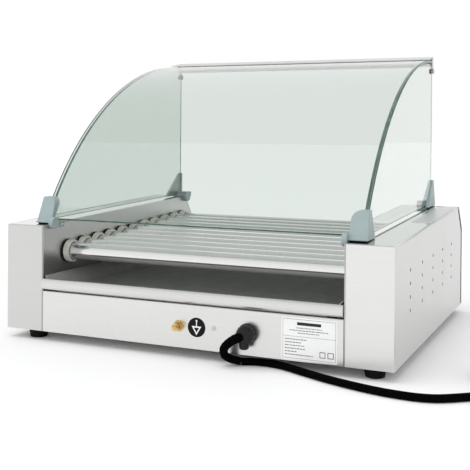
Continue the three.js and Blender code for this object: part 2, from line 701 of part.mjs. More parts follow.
function cordCoil() {
  const inner = COIL_MIDDLE_RADIUS - COIL_HALF_WIDTH;
  const outer = COIL_MIDDLE_RADIUS + COIL_HALF_WIDTH;
  const profile = [
    [inner, 2.5], [inner + 3, 0.1], [outer - 3, 0.1], [outer, 3], [outer, COIL_HEIGHT - 3],
    [outer - 3, COIL_HEIGHT], [inner + 3, COIL_HEIGHT], [inner, COIL_HEIGHT - 3], [inner, 2.5],
  ];
  const ring = new THREE.LatheGeometry(profile.map(([r, h]) => new THREE.Vector2(r, h)), 32);
  ring.rotateX(Math.PI / 2);
  return ring;
}

// Round two-pin plug on its side: sleeve, shoulder, body and pins along +Y, at the end of the last turn.
const PLUG_CENTRE = [COIL_CENTRE[0] + COIL_MIDDLE_RADIUS + CORD_RADIUS, PLUG_RADIUS + 0.2];
const PLUG_START = COIL_CENTRE[1] + 37;

function mainsPlug() {
  const end = PLUG_BODY_LENGTH;
  const profile = [
    [0, 0], [6.2, 0], [8, 20], [12, 22], [16, 30], [PLUG_RADIUS, 34], [PLUG_RADIUS, end - 2],
    [PLUG_RADIUS - 1, end],
    [0, end],
  ];
  const body = new THREE.LatheGeometry(profile.map(([r, h]) => new THREE.Vector2(r, h)), 20);
  const pins = [-PLUG_PIN_X, PLUG_PIN_X].map(x =>
    round('y', end - 4, PLUG_LENGTH, [x, 0], PLUG_PIN_RADIUS, 10));
  return join(solid(body), ...pins);
}

add('cord_coil', cordCoil(), RUBBER, [...COIL_CENTRE, 0]);
add('mains_plug', mainsPlug(), BLACK, [PLUG_CENTRE[0], PLUG_START, PLUG_CENTRE[1]]);

export default group;
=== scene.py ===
import math
import random

import bmesh
import bpy
from mathutils import Matrix, Vector


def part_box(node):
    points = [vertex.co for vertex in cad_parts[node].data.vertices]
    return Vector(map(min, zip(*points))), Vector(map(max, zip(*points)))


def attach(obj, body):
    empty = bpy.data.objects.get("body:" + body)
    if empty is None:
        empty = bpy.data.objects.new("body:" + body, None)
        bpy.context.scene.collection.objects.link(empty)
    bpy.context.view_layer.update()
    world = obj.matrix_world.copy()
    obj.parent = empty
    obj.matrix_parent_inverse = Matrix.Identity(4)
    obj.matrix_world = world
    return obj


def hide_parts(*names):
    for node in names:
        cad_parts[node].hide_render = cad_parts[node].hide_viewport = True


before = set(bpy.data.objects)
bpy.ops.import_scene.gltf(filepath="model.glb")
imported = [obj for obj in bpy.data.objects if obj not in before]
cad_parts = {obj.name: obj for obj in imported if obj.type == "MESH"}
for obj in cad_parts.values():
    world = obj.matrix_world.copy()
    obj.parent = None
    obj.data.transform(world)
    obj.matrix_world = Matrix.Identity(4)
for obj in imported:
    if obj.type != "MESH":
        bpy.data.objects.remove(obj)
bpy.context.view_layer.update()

# Lengths are in millimetres until piece() or metres() turns them into metres, and Z points up.
MM = 0.001

# -------- driving dimensions
SHEET = 1.5
GAP = 0.3
BOX_WIDTH = 64
FRONT_HEIGHT = 153
TOP_SLOPE = 0.0316
CHAMFER_DEPTH = 29.7
CHAMFER_HEIGHT = 129

ROLLERS = 11

GLASS = 4
GUARD_RADIUS = 494.5
GUARD_CENTRE = (459.7, -80.6)
GUARD_BOTTOM = 160.3
GUARD_END = 446
GUARD_INSET = 45.3
GUARD_ARRIS = 1.25
SIDE_GLASS_INSET = 48
SIDE_GLASS_LIFT = 3.6
SIDE_GLASS_REAR = 456

TRAY_LIP = (61.5, 77)
TRAY_SLOPE = 20

TUBE_RADIUS = 12.5
TUBE_WALL = 1
COLLAR_HOLE = 15.2

EARTH_PLACE = (-4.3, 29)
STICKER_PLACE = (22.6, 29.3)
PANEL_SCREW = (48, 30.7)
GLAND_PLACE = (97.2, 28.7)
LABEL_LOW, LABEL_HIGH = (143.5, 1.5), (218, 55.5)
TRIM_SCREW = (452.6, 396.2)
ROCKER_HEIGHT = 66

CORD_DIAMETER = 9.5
COIL_MIDDLE_RADIUS = 52


def metres(x, y, z):
    return Vector((x, y, z)) * MM


def span(node):
    """Lowest and highest corner of a CAD node, in millimetres."""
    low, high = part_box(node)
    return low / MM, high / MM


def middle(node):
    low, high = span(node)
    return (low + high) / 2


CASING_LOW = span("left_cover")[0]
REAR_FACE = span("control_panel")[1].y
DEPTH = REAR_FACE - CASING_LOW.y
HALF_WIDTH = span("right_cover")[1].x


def Y(depth):
    """Place of a depth counted from the casing's front face."""
    return CASING_LOW.y + depth


def Z(height):
    """Place of a height counted from the casing's underside."""
    return CASING_LOW.z + height


def inset(side, distance):
    return side * (HALF_WIDTH - distance)


def between(side, a, b):
    """The x range between two distances in from the outer face of a side, low end first."""
    return sorted((inset(side, a), inset(side, b)))


def top_at(depth):
    return FRONT_HEIGHT + TOP_SLOPE * depth


SIDES = (("left", -1), ("right", 1))


def placed(name, data):
    """An object that holds the data, in the scene."""
    made = bpy.data.objects.new(name, data)
    bpy.context.scene.collection.objects.link(made)
    return made


def as_mesh(name, bm):
    mesh = bpy.data.meshes.new(name)
    bm.to_mesh(mesh)
    bm.free()
    return mesh


def node_tree(made):
    return made.node_tree.nodes, made.node_tree.links


def roller_axis(i):
    centre = middle(f"roller_{i + 1:02d}")
    return centre.y, centre.z


# -------- camera
def add_camera():
    """Three quarters of the inlet side, from a little above the casing, with a long lens."""
    yaw, pitch, roll = 0.4166, 0.0088, 0.007
    forward = Vector((-math.sin(yaw) * math.cos(pitch), math.cos(yaw) * math.cos(pitch), -math.sin(pitch)))
    level = Vector((math.cos(yaw), math.sin(yaw), 0))
    upward = level.cross(forward)
    right = level * math.cos(roll) + upward * math.sin(roll)
    up = upward * math.cos(roll) - level * math.sin(roll)
    data = bpy.data.cameras.new("camera")
    data.sensor_width = 36
    data.lens = 66.88
    data.shift_x = -0.0006
    data.shift_y = -0.2009
    camera = placed("camera", data)
    turn = Matrix((right, up, -forward)).transposed().to_4x4()
    camera.matrix_world = Matrix.Translation(metres(538.9, -1284.4, 303.3)) @ turn
    bpy.context.scene.camera = camera


add_camera()


# -------- materials
def material(name, colour, roughness, metallic=0.0, **sockets):
    made = bpy.data.materials.new(name)
    made.use_nodes = True
    shader = made.node_tree.nodes["Principled BSDF"]
    shader.inputs["Base Color"].default_value = (*colour, 1)
    shader.inputs["Roughness"].default_value = roughness
    shader.inputs["Metallic"].default_value = metallic
    for socket, value in sockets.items():
        shader.inputs[socket.replace("_", " ")].default_value = value
    return made


def noise(made, scale, stretch=(1, 1, 1), detail=4, roughness=0.5):
    """A noise texture in the piece's own space, per metre, stretched by axis."""
    nodes, links = node_tree(made)
    place = nodes.new("ShaderNodeTexCoord")
    mapping = nodes.new("ShaderNodeMapping")
    mapping.inputs["Scale"].default_value = stretch
    texture = nodes.new("ShaderNodeTexNoise")
    texture.inputs["Scale"].default_value = scale
    texture.inputs["Detail"].default_value = detail
    texture.inputs["Roughness"].default_value = roughness
    links.new(place.outputs["Object"], mapping.inputs["Vector"])
    links.new(mapping.outputs["Vector"], texture.inputs["Vector"])
    return texture.outputs["Fac"]


def tint(made, source, dark, light, low=0.35, high=0.65):
    """Colours the surface between two tones where the source runs from low to high."""
    nodes, links = node_tree(made)
    ramp = nodes.new("ShaderNodeValToRGB")
    ramp.color_ramp.elements[0].position = low
    ramp.color_ramp.elements[1].position = high
    ramp.color_ramp.elements[0].color = (*dark, 1)
    ramp.color_ramp.elements[1].color = (*light, 1)
    links.new(source, ramp.inputs["Fac"])
    links.new(ramp.outputs["Color"], nodes["Principled BSDF"].inputs["Base Color"])


def gloss(made, source, smooth, rough, low=0.3, high=0.7):
    nodes, links = node_tree(made)
    spread = nodes.new("ShaderNodeMapRange")
    spread.inputs["From Min"].default_value = low
    spread.inputs["From Max"].default_value = high
    spread.inputs["To Min"].default_value = smooth
    spread.inputs["To Max"].default_value = rough
    links.new(source, spread.inputs["Value"])
    links.new(spread.outputs["Result"], nodes["Principled BSDF"].inputs["Roughness"])


def relief(made, source, height, strength=0.5):
    """Bumps the surface by the source, height in millimetres."""
    nodes, links = node_tree(made)
    bump = nodes.new("ShaderNodeBump")
    bump.inputs["Strength"].default_value = strength
    bump.inputs["Distance"].default_value = height * MM
    links.new(source, bump.inputs["Height"])
    links.new(bump.outputs["Normal"], nodes["Principled BSDF"].inputs["Normal"])


def brushed_steel(name, tone, smooth, rough, grain, height=0.01, metallic=1.0):
    """Stainless sheet: fine lines along one axis, and broad soft patches of wear in the gloss."""
    made = material(name, (tone, tone, tone * 0.985), rough, metallic)
    lines = noise(made, 1, grain, detail=3, roughness=0.5)
    patches = noise(made, 7, detail=1)
    tint(made, lines, (tone * 0.965, tone * 0.965, tone * 0.95), (tone, tone, tone * 0.985), 0.25, 0.75)
    gloss(made, patches, smooth, rough, 0.2, 0.8)
    relief(made, lines, height, 0.2)
    return made


def clear_glass(name):
    """Clear pane with a faint green cast. Rays from the lamps pass it with the same cast."""
    cast = (0.72, 0.775, 0.74)
    made = material(name, cast, 0.0, IOR=1.5, Transmission_Weight=1.0)
    nodes, links = node_tree(made)
    relief(made, noise(made, 9, detail=2), 0.02, 0.05)
    lamp_rays = nodes.new("ShaderNodeBsdfTransparent")
    lamp_rays.inputs["Color"].default_value = (0.86, 0.9, 0.875, 1)
    path = nodes.new("ShaderNodeLightPath")
    mix = nodes.new("ShaderNodeMixShader")
    links.new(path.outputs["Is Shadow Ray"], mix.inputs["Fac"])
    links.new(nodes["Principled BSDF"].outputs["BSDF"], mix.inputs[1])
    links.new(lamp_rays.outputs["BSDF"], mix.inputs[2])
    links.new(mix.outputs["Shader"], nodes["Material Output"].inputs["Surface"])
    return made


def glass_edge(name, dark, light):
    """Ground edge of a pane, painted deep green for the light gathered in the glass."""
    made = material(name, light, 0.25, IOR=1.5)
    tint(made, noise(made, 60, detail=3), dark, light, 0.4, 0.6)
    relief(made, noise(made, 1500), 0.02, 0.2)
    return made


def moulded(name, colour, roughness, scale=900, height=0.03, spread=0.12, **sockets):
    """Moulded plastic or rubber: a fine spark-eroded grain and a slight cloud in the colour."""
    made = material(name, colour, roughness, **sockets)
    dark = tuple(c * (1 - spread) for c in colour)
    light = tuple(min(1.0, c * (1 + spread)) for c in colour)
    tint(made, noise(made, 40, detail=3), dark, light)
    gloss(made, noise(made, 120, detail=3), max(0.0, roughness - 0.07), min(1.0, roughness + 0.07))
    relief(made, noise(made, scale, detail=3), height, 0.4)
    return made


# The cover sheet's faces take copies of one steel whose tones are painted light and shade: the right front
# lightest, the top a little darker, the left front and the sides darker still.
STEEL_FRONT_PAINTED_LIGHT = brushed_steel("front_steel_painted_light", 0.78, 0.3, 0.36, (6, 700, 700), 0.004, 0.5)
STEEL_LEFT_FRONT_PAINTED_SHADE = brushed_steel("left_front_steel_painted_shade", 0.655, 0.26, 0.32, (6, 700, 700), 0.004)
STEEL_PANEL = brushed_steel("satin_panel_steel", 0.76, 0.26, 0.32, (6, 700, 700), 0.004)
STEEL_SIDE_PAINTED_SHADE = brushed_steel("side_steel_painted_shade", 0.64, 0.3, 0.36, (700, 6, 700), 0.004, 0.6)
STEEL_TOP_PAINTED_LIGHT = brushed_steel("top_steel_painted_light", 0.74, 0.05, 0.09, (700, 6, 700), 0.002)
STEEL_WALL = brushed_steel("brushed_inner_wall", 0.56, 0.3, 0.38, (900, 5, 600), 0.008)
STEEL_LIP = brushed_steel("bright_lip_steel", 0.72, 0.2, 0.28, (5, 700, 700), 0.008)
STEEL_TRIM = brushed_steel("trim_steel", 0.62, 0.2, 0.3, (5, 700, 700), 0.006)
STEEL_ROLLER = brushed_steel("polished_tube", 0.8, 0.08, 0.13, (900, 10, 10), 0.004)
STEEL_FASTENER = brushed_steel("zinc_fastener", 0.7, 0.25, 0.4, (300, 300, 300), 0.01)
STEEL_DRIVE = brushed_steel("oiled_drive_steel", 0.32, 0.3, 0.5, (200, 200, 200), 0.02)
STEEL_ELEMENT = brushed_steel("heat_dulled_steel", 0.3, 0.4, 0.6, (200, 60, 60), 0.02)
PAN = moulded("dark_pan", (0.3, 0.3, 0.288), 0.42, 300, 0.02, 0.08)
CLEAR = clear_glass("guard_glass")
# Opaque glass edges in painted light: deep green where light gathers in the glass, the arrises darker than
# the ground edge as painted shade.
EDGE_DARK = glass_edge("glass_arris", (0.03, 0.065, 0.048), (0.05, 0.105, 0.08))
EDGE_LIGHT = glass_edge("glass_ground_edge", (0.12, 0.24, 0.18), (0.2, 0.36, 0.28))
CLAMP = moulded("clamp_plastic", (0.33, 0.405, 0.41), 0.45, height=0.02, spread=0.04)
RING = moulded("collar_plastic", (0.66, 0.65, 0.6), 0.5, 350, 0.08, 0.16)
# Near-black for the collar rings, the strips under the clamps and the trim nuts, and also painted shade in
# the gap behind each cover.
BLACK_PARTS_AND_SHADE = moulded("black_parts_and_painted_shade", (0.012, 0.012, 0.011), 0.6, Specular_IOR_Level=0.15)
RUBBER = moulded("foot_rubber", (0.006, 0.006, 0.006), 0.6, 700, 0.03, Specular_IOR_Level=0.1)
SHEATH = moulded("cord_sheath", (0.0015, 0.0015, 0.0015), 0.7, 900, 0.01, Specular_IOR_Level=0.02)
PLASTIC = moulded("black_plastic", (0.008, 0.008, 0.008), 0.35, 900, 0.02, Specular_IOR_Level=0.25)
BRASS = material("brass", (0.72, 0.5, 0.2), 0.28, 1.0)
tint(BRASS, noise(BRASS, 220, detail=4), (0.55, 0.36, 0.13), (0.8, 0.6, 0.28))
relief(BRASS, noise(BRASS, 900), 0.03, 0.3)
PAPER = moulded("label_paper", (0.88, 0.885, 0.885), 0.35, 600, 0.01, 0.015)
PRINT = moulded("label_print", (0.03, 0.03, 0.035), 0.6, 600, 0.003, Specular_IOR_Level=0.15)
STICKER = moulded("sticker_black", (0.005, 0.005, 0.005), 0.5, 600, 0.005, Specular_IOR_Level=0.15)
SYMBOL = moulded("sticker_white", (0.85, 0.85, 0.84), 0.4, 600, 0.005, 0.02)
FIBRE = moulded("fibre_washer", (0.42, 0.1, 0.08), 0.6, 500, 0.04)


# -------- mesh building
def at(axis, along, u, v):
    """A point at a place along an axis: (u, v) are (y, z) for x, (x, z) for y and (x, y) for z."""
    return Vector({"x": (along, u, v), "y": (u, along, v), "z": (u, v, along)}[axis])


def skin(bm, rings, capped=True, looped=False):
    """Faces between rings of points, with end caps, or joined last to first."""
    rows = [[bm.verts.new(p) for p in ring] for ring in rings]
    strips = []
    for a, b in zip(rows, rows[1:] + (rows[:1] if looped else [])):
        for i in range(len(a)):
            j = (i + 1) % len(a)
            strips.append(bm.faces.new((a[i], a[j], b[j], b[i])))
    if capped and not looped:
        strips.append(bm.faces.new(rows[0][::-1]))
        strips.append(bm.faces.new(rows[-1]))
    return strips


def prism(bm, axis, a, b, outline):
    return skin(bm, [[at(axis, place, u, v) for u, v in outline] for place in (a, b)])


def block(bm, low, high):
    corners = [(low[1], low[2]), (high[1], low[2]), (high[1], high[2]), (low[1], high[2])]
    return prism(bm, "x", low[0], high[0], corners)


def on_circle(u, v, radius, turn):
    return u + radius * math.cos(turn), v + radius * math.sin(turn)


def circle(u, v, radius, segments=32, start=0.0):
    turns = [start + 2 * math.pi * i / segments for i in range(segments)]
    return [on_circle(u, v, radius, t) for t in turns]


def lathe(bm, axis, centre, profile, segments=48, looped=False):
    """Turns a profile of (radius, place along the axis) about that axis."""
    rings = [
        [at(axis, along, u, v) for u, v in circle(*centre, radius, segments)] for radius, along in profile
    ]
    return skin(bm, rings, looped=looped)


def solid(shape, *args, **options):
    """A new mesh that holds one shape."""
    bm = bmesh.new()
    shape(bm, *args, **options)
    return bm


def tube(bm, points, radii, segments=20):
    """Round bar along a path, its radius given at each point."""
    rings = []
    side = Vector((0, 0, 1))
    for i, point in enumerate(points):
        ahead = (points[min(i + 1, len(points) - 1)] - points[max(i - 1, 0)]).normalized()
        side = (side - ahead * side.dot(ahead)).normalized()
        other = ahead.cross(side)
        rings.append([point + side * u + other * v for u, v in circle(0, 0, radii[i], segments)])
    return skin(bm, rings)


def smooth_path(points, step):
    """Centripetal Catmull-Rom curve through the points, as points about a step apart."""
    points = [Vector(p) for p in points]
    padded = [2 * points[0] - points[1], *points, 2 * points[-1] - points[-2]]
    path = []
    for p0, p1, p2, p3 in zip(padded, padded[1:], padded[2:], padded[3:]):
        k1 = math.sqrt((p1 - p0).length)
        k2 = k1 + math.sqrt((p2 - p1).length)
        k3 = k2 + math.sqrt((p3 - p2).length)
        count = max(2, round((p2 - p1).length / step))
        for i in range(count):
            t = k1 + (k2 - k1) * i / count
            a1 = p0 * ((k1 - t) / k1) + p1 * (t / k1)
            a2 = p1 * ((k2 - t) / (k2 - k1)) + p2 * ((t - k1) / (k2 - k1))
            a3 = p2 * ((k3 - t) / (k3 - k2)) + p3 * ((t - k2) / (k3 - k2))
            b1 = a1 * ((k2 - t) / k2) + a2 * (t / k2)
            b2 = a2 * ((k3 - t) / (k3 - k1)) + a3 * ((t - k1) / (k3 - k1))
            path.append(b1 * ((k2 - t) / (k2 - k1)) + b2 * ((t - k1) / (k2 - k1)))
    return [*path, points[-1]]


def arc(u, v, radius, start, end, steps):
    turns = [math.radians(start + (end - start) * i / steps) for i in range(steps + 1)]
    return [on_circle(u, v, radius, t) for t in turns]


def rounded(low, high, radius, steps=5):
    """Rectangle with round corners, as an outline."""
    outline = []
    corners = [(high[0], high[1]), (low[0], high[1]), (low[0], low[1]), (high[0], low[1])]
    for (u, v), turn in zip(corners, (0, 90, 180, 270)):
        inward_u = -radius if u == high[0] else radius
        inward_v = -radius if v == high[1] else radius
        outline += arc(u + inward_u, v + inward_v, radius, turn, turn + 90, steps)
    return outline


def soften(bm, width, segments=2, least=40):
    """Rounds every edge that turns by more than least degrees."""
    bmesh.ops.recalc_face_normals(bm, faces=bm.faces)
    sharp = [e for e in bm.edges if len(e.link_faces) == 2 and e.calc_face_angle() > math.radians(least)]
    bmesh.ops.bevel(
        bm, geom=sharp, offset=width, segments=segments, affect="EDGES", profile=0.5, clamp_overlap=True,
    )


def shade(bm, crease=32):
    for face in bm.faces:
        face.smooth = True
    for edge in bm.edges:
        edge.smooth = len(edge.link_faces) == 2 and edge.calc_face_angle() < math.radians(crease)


def piece(name, bm, materials, body="casing", replaces=(), bevel=0.0, segments=2):
    """Makes a named object from the mesh, in metres, and puts it on its body."""
    bmesh.ops.remove_doubles(bm, verts=bm.verts, dist=0.0005)
    bmesh.ops.recalc_face_normals(bm, faces=bm.faces)
    if bevel:
        soften(bm, bevel, segments)
    shade(bm)
    bm.transform(Matrix.Scale(MM, 4))
    made = placed(name, as_mesh(name, bm))
    for each in materials if isinstance(materials, (list, tuple)) else [materials]:
        made.data.materials.append(each)
    weighted = made.modifiers.new("weighted normals", "WEIGHTED_NORMAL")
    weighted.keep_sharp = True
    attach(made, body)
    if replaces:
        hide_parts(*replaces)
    return made


def carved(bm, tools):
    """The mesh in bm with the closed solids of tools cut out of it."""
    pair = []
    for mesh_maker, label in ((bm, "whole"), (tools, "tools")):
        bmesh.ops.recalc_face_normals(mesh_maker, faces=mesh_maker.faces)
        pair.append(placed(label, as_mesh(label, mesh_maker)))
    boolean = pair[0].modifiers.new("cut", "BOOLEAN")
    boolean.object = pair[1]
    boolean.solver = "EXACT"
    boolean.operation = "DIFFERENCE"
    result = bmesh.new()
    result.from_object(pair[0], bpy.context.evaluated_depsgraph_get())
    for made in pair:
        bpy.data.objects.remove(made)
    return result


def refined(name, node, materials, bevel, segments=2, body="casing"):
    """A CAD node's own shape with its flat faces joined up and its edges rounded."""
    bm = bmesh.new()
    bm.from_mesh(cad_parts[node].data)
    bm.transform(Matrix.Scale(1 / MM, 4))
    bmesh.ops.remove_doubles(bm, verts=bm.verts, dist=0.001)
    bmesh.ops.dissolve_limit(bm, angle_limit=math.radians(1), verts=bm.verts, edges=bm.edges)
    return piece(name, bm, materials, body, (node,), bevel, segments)


# -------- mains cord, gland and plug
LOWER = 4.85
UPPER = 14.4
# (x, depth) of the cord where it lies on the table
CORD_LIES = [
    (110, 8), (121, 9), (134, 7), (147, 3), (172, -9), (210, -27), (250, -42), (286, -52), (307, -55),
    (327, -56), (345, -53), (358, -47), (371, -38), (385, -27), (400, -15), (414, -4), (428, 7),
    (441.5, 17.5),
]
CORD_ROUTE = [
    (88, Y(0.1), 5.15), (98, Y(5), 4.9),
    *((x, Y(depth), LOWER) for x, depth in CORD_LIES),
]
SLEEVE = [
    (96, Y(-14), 42), (84, Y(-19), 36.5), (73, Y(-21), 26), (71, Y(-16), 16), (77, Y(-7), 8.8),
    (87, Y(-0.5), 5.6),
]
COIL_CENTRE = middle("cord_coil")
PLUG_LOW, PLUG_HIGH = span("mains_plug")
PLUG_AXIS = ((PLUG_LOW.x + PLUG_HIGH.x) / 2, (PLUG_LOW.z + PLUG_HIGH.z) / 2)


def eased(share):
    """A share from 0 to 1 that starts and ends gently."""
    return share * share * (3 - 2 * share)


def coil_points():
    """Two layers of two turns. Each stop is (angle, radius, height), with an even run between stops."""
    outer = COIL_MIDDLE_RADIUS + 4.8
    inner = COIL_MIDDLE_RADIUS - 4.8
    stops = [
        (-52, outer, LOWER), (240, outer, LOWER), (290, inner, LOWER), (550, inner, LOWER),
        (605, inner, UPPER), (860, inner, UPPER), (905, outer, UPPER), (1080, outer, UPPER),
    ]
    points = []
    for (turn_a, radius_a, z_a), (turn_b, radius_b, z_b) in zip(stops, stops[1:]):
        count = math.ceil((turn_b - turn_a) / 6)
        for i in range(count):
            share = i / count
            ease = eased(share)
            turn = math.radians(turn_a + (turn_b - turn_a) * share)
            radius = radius_a + (radius_b - radius_a) * ease
            place = on_circle(COIL_CENTRE.x, COIL_CENTRE.y, radius, turn)
            points.append(Vector((*place, z_a + (z_b - z_a) * ease)))
    return points


def tail_points():
    """From the top of the coil straight back, rising to the middle of the plug's sleeve."""
    start = Vector((PLUG_AXIS[0], COIL_CENTRE.y, UPPER))
    end = Vector((PLUG_AXIS[0], PLUG_LOW.y + 1, PLUG_AXIS[1]))
    run, rise = end.y - start.y, end.z - start.z
    shares = [i / 8 for i in range(9)]
    return [Vector((start.x, start.y + run * share, start.z + rise * eased(share))) for share in shares]


def length_of(points):
    return sum((b - a).length for a, b in zip(points, points[1:]))


def mains_cord(with_pieces):
    points = [*smooth_path(CORD_ROUTE, 4), *coil_points(), *tail_points()]
    curve = bpy.data.curves.new("flex", "CURVE")
    curve.dimensions = "3D"
    curve.bevel_depth = CORD_DIAMETER / 2 * MM
    curve.bevel_resolution = 5
    curve.use_fill_caps = True
    spline = curve.splines.new("POLY")
    spline.points.add(len(points) - 1)
    for place, point in zip(spline.points, points):
        place.co = (*(point * MM), 1)
    spline.use_smooth = True
    curve.materials.append(SHEATH)
    made = placed("flex", curve)
    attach(made, "casing")
    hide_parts("mains_cord", "cord_coil")


def turned_out(bm, place, profile, segments=48, looped=False):
    """Turns a profile of (radius, how far out of the inlet panel) about an axis square to the panel."""
    return lathe(bm, "y", place, [(radius, Y(-out)) for radius, out in profile], segments, looped)


def gland():
    """Screwed gland: flange, ribbed cap with a domed end, and the clamping block that points down."""
    x, z = GLAND_PLACE[0], Z(GLAND_PLACE[1])
    bm = solid(turned_out, (x, z), [
        (0, GAP), (13.2, GAP), (13.5, 0.8), (13.5, 3.4), (13, 4), (12.4, 4.2), (12.2, 9), (11.6, 13),
        (10, 16), (7, 18), (3, 18.9), (0, 19),
    ])
    for i in range(18):
        centre = on_circle(x, z, 12.1, 2 * math.pi * i / 18)
        turned_out(bm, centre, [(0, 4), (0.9, 4.1), (0.8, 11), (0, 12)], 8)
    lathe(bm, "z", (x - 1, Y(-10.5)), [
        (0, z - 18.6), (4.6, z - 18.4), (6, z - 17.4), (6.5, z - 15.6), (6.6, z - 6), (6.6, z + 2),
        (5, z + 6), (0, z + 7),
    ], 32)
    return piece("gland_cap", bm, PLASTIC, replaces=("cable_gland",))


def bend_relief():
    """Tapered sleeve that turns the cord down to the table, with shallow rings round its thick end."""
    path = smooth_path(SLEEVE, 1.2)
    last = len(path) - 1
    radii = []
    for i in range(len(path)):
        share = i / last
        radius = 6.3 - 1.25 * share
        ring = 0.28 if 0.12 < share < 0.62 and i % 4 < 2 else 0.0
        radii.append(radius - ring)
    return piece("bend_relief", solid(tube, path, radii, 28), SHEATH)


def plug():
    """Round moulded plug lying on its side: ribbed sleeve, shoulder, a grip groove and face."""
    start = PLUG_LOW.y
    bm = bmesh.new()
    sleeve = [(5.6, 0), (6.2, 0.4)]
    for rib in range(5):
        along = 1.5 + rib * 3.6
        grow = 0.28 * rib
        rib_profile = ((6.2, 0), (6.3, 1.8), (5.5, 2.1), (5.5, 3.2))
        sleeve += [(radius + grow, along + step) for radius, step in rib_profile]
    body = [
        (8, 20), (11, 21.5), (14, 25), (16.6, 29.5), (18, 33), (18.5, 36), (18.5, 43), (17.7, 44),
        (17.7, 46), (18.5, 47), (18.5, 52), (18, 53.5), (17, 54), (0, 54),
    ]
    lathe(bm, "y", PLUG_AXIS, [(0, start), *((r, start + along) for r, along in sleeve + body)], 56)
    made = piece("plug_body", bm, PLASTIC, replaces=("mains_plug",))
    bm = bmesh.new()
    for side in (-1, 1):
        centre = (PLUG_AXIS[0] + side * 9.5, PLUG_AXIS[1])
        lathe(bm, "y", centre, [
            (0, start + 53), (2.4, start + 53), (2.4, start + 71.4), (1.6, start + 72.8), (0, start + 73),
        ], 20)
    pins = piece("plug_pins", bm, BRASS)
    return [made, pins]


mains_cord([gland(), bend_relief(), *plug()])


# -------- casing
def rear_corner(distance):
    """Foot of the chamfer on a face set in from the rear by a distance, which the chamfer follows."""
    slope, rise = CHAMFER_DEPTH, top_at(DEPTH - CHAMFER_DEPTH) - CHAMFER_HEIGHT
    return DEPTH - distance, CHAMFER_HEIGHT - distance * (math.hypot(slope, rise) - rise) / slope


def chamfer_top(distance):
    """Depth at which a chamfer moved in by a distance meets the top."""
    rise = top_at(DEPTH - CHAMFER_DEPTH) - CHAMFER_HEIGHT
    return DEPTH - CHAMFER_DEPTH - distance * math.hypot(CHAMFER_DEPTH, rise) / rise


def side_outline(bottom, rear):
    """Side view of a box as (y, z) points: front foot, rear foot, the chamfer's two ends, front top."""
    corner, height = rear_corner(rear)
    top = chamfer_top(rear)
    return [
        (Y(0), Z(bottom)), (Y(corner), Z(bottom)), (Y(corner), Z(height)), (Y(top), Z(top_at(top))),
        (Y(0), Z(top_at(0))),
    ]


def sheet_metal(bm, radius, centre):
    """Rounds the folds of an open skin that faces away from centre, and thickens it inwards."""
    folds = [e for e in bm.edges if len(e.link_faces) == 2]
    bmesh.ops.bevel(bm, geom=folds, offset=radius, segments=5, affect="EDGES", profile=0.5)
    bm.normal_update()
    for face in bm.faces:
        if (face.calc_center_median() - centre).dot(face.normal) < 0:
            face.normal_flip()
    bm.normal_update()
    bmesh.ops.solidify(bm, geom=bm.faces[:], thickness=SHEET)


# Width of the black strip painted as the shade of the gap behind each cover.
GAP_SHADE_WIDTH = 3.5
VENT_FIRST = (84.6, 113.4)
VENT_PITCH = (74, 17.7)
VENT_COLUMNS = 5
VENT_ROWS = 4
VENT_RADIUS = 2.6


def cover(name, side):
    """Side, top and front of a box folded from one sheet, with five columns of four round vents."""
    rear = DEPTH - (span(f"{name}_cover")[1].y - CASING_LOW.y)
    outline = side_outline(0, rear)
    outer, inner = inset(side, 0), inset(side, BOX_WIDTH - SHEET - GAP)
    bm = bmesh.new()
    far, near = ([bm.verts.new((x, y, z)) for y, z in outline] for x in (outer, inner))
    bm.faces.new(far)
    for i, j in ((3, 4), (4, 0)):
        bm.faces.new((far[i], far[j], near[j], near[i]))
    for loose in near[1:3]:
        bm.verts.remove(loose)
    sheet_metal(bm, 2.0, Vector(((outer + inner) / 2, Y(DEPTH / 2), Z(FRONT_HEIGHT / 2))))
    tools = bmesh.new()
    for column in range(VENT_COLUMNS):
        for row in range(VENT_ROWS):
            vent = (Y(VENT_FIRST[0] + VENT_PITCH[0] * column), Z(VENT_FIRST[1] - VENT_PITCH[1] * row))
            prism(tools, "x", outer - 4, outer + 4, circle(*vent, VENT_RADIUS, 24))
    sheet = carved(bm, tools)
    paint_tone_by_facing(sheet)
    # The left box's front takes a darker steel than the right box's front: painted shade.
    front = STEEL_LEFT_FRONT_PAINTED_SHADE if side < 0 else STEEL_FRONT_PAINTED_LIGHT
    return piece(f"{name}_cover_sheet", sheet, [STEEL_SIDE_PAINTED_SHADE, STEEL_TOP_PAINTED_LIGHT, front],
                 replaces=(f"{name}_cover",))


def rear_gap_shade(name, side):
    """Black strip along a cover's rear edge, next to the panel behind it, followed up over the chamfer:
    painted shade of the gap between them.
    """
    rear = DEPTH - (span(f"{name}_cover")[1].y - CASING_LOW.y)
    far, near = side_outline(2, rear)[1:4], side_outline(2, rear + GAP_SHADE_WIDTH)[1:4]
    bm = solid(prism, "x", *between(side, SHEET / 2, -0.25), [*far, *near[::-1]])
    return piece(f"{name}_rear_seam", bm, BLACK_PARTS_AND_SHADE, bevel=0.1)


def paint_tone_by_facing(sheet):
    """Gives a cover's top the second material and its front the third, so each facing of the one sheet
    takes its own painted light or shade.
    """
    sheet.normal_update()
    for face in sheet.faces:
        if face.normal.z > 0.6:
            face.material_index = 1
        elif face.normal.y < -0.6:
            face.material_index = 2
        else:
            face.material_index = 0


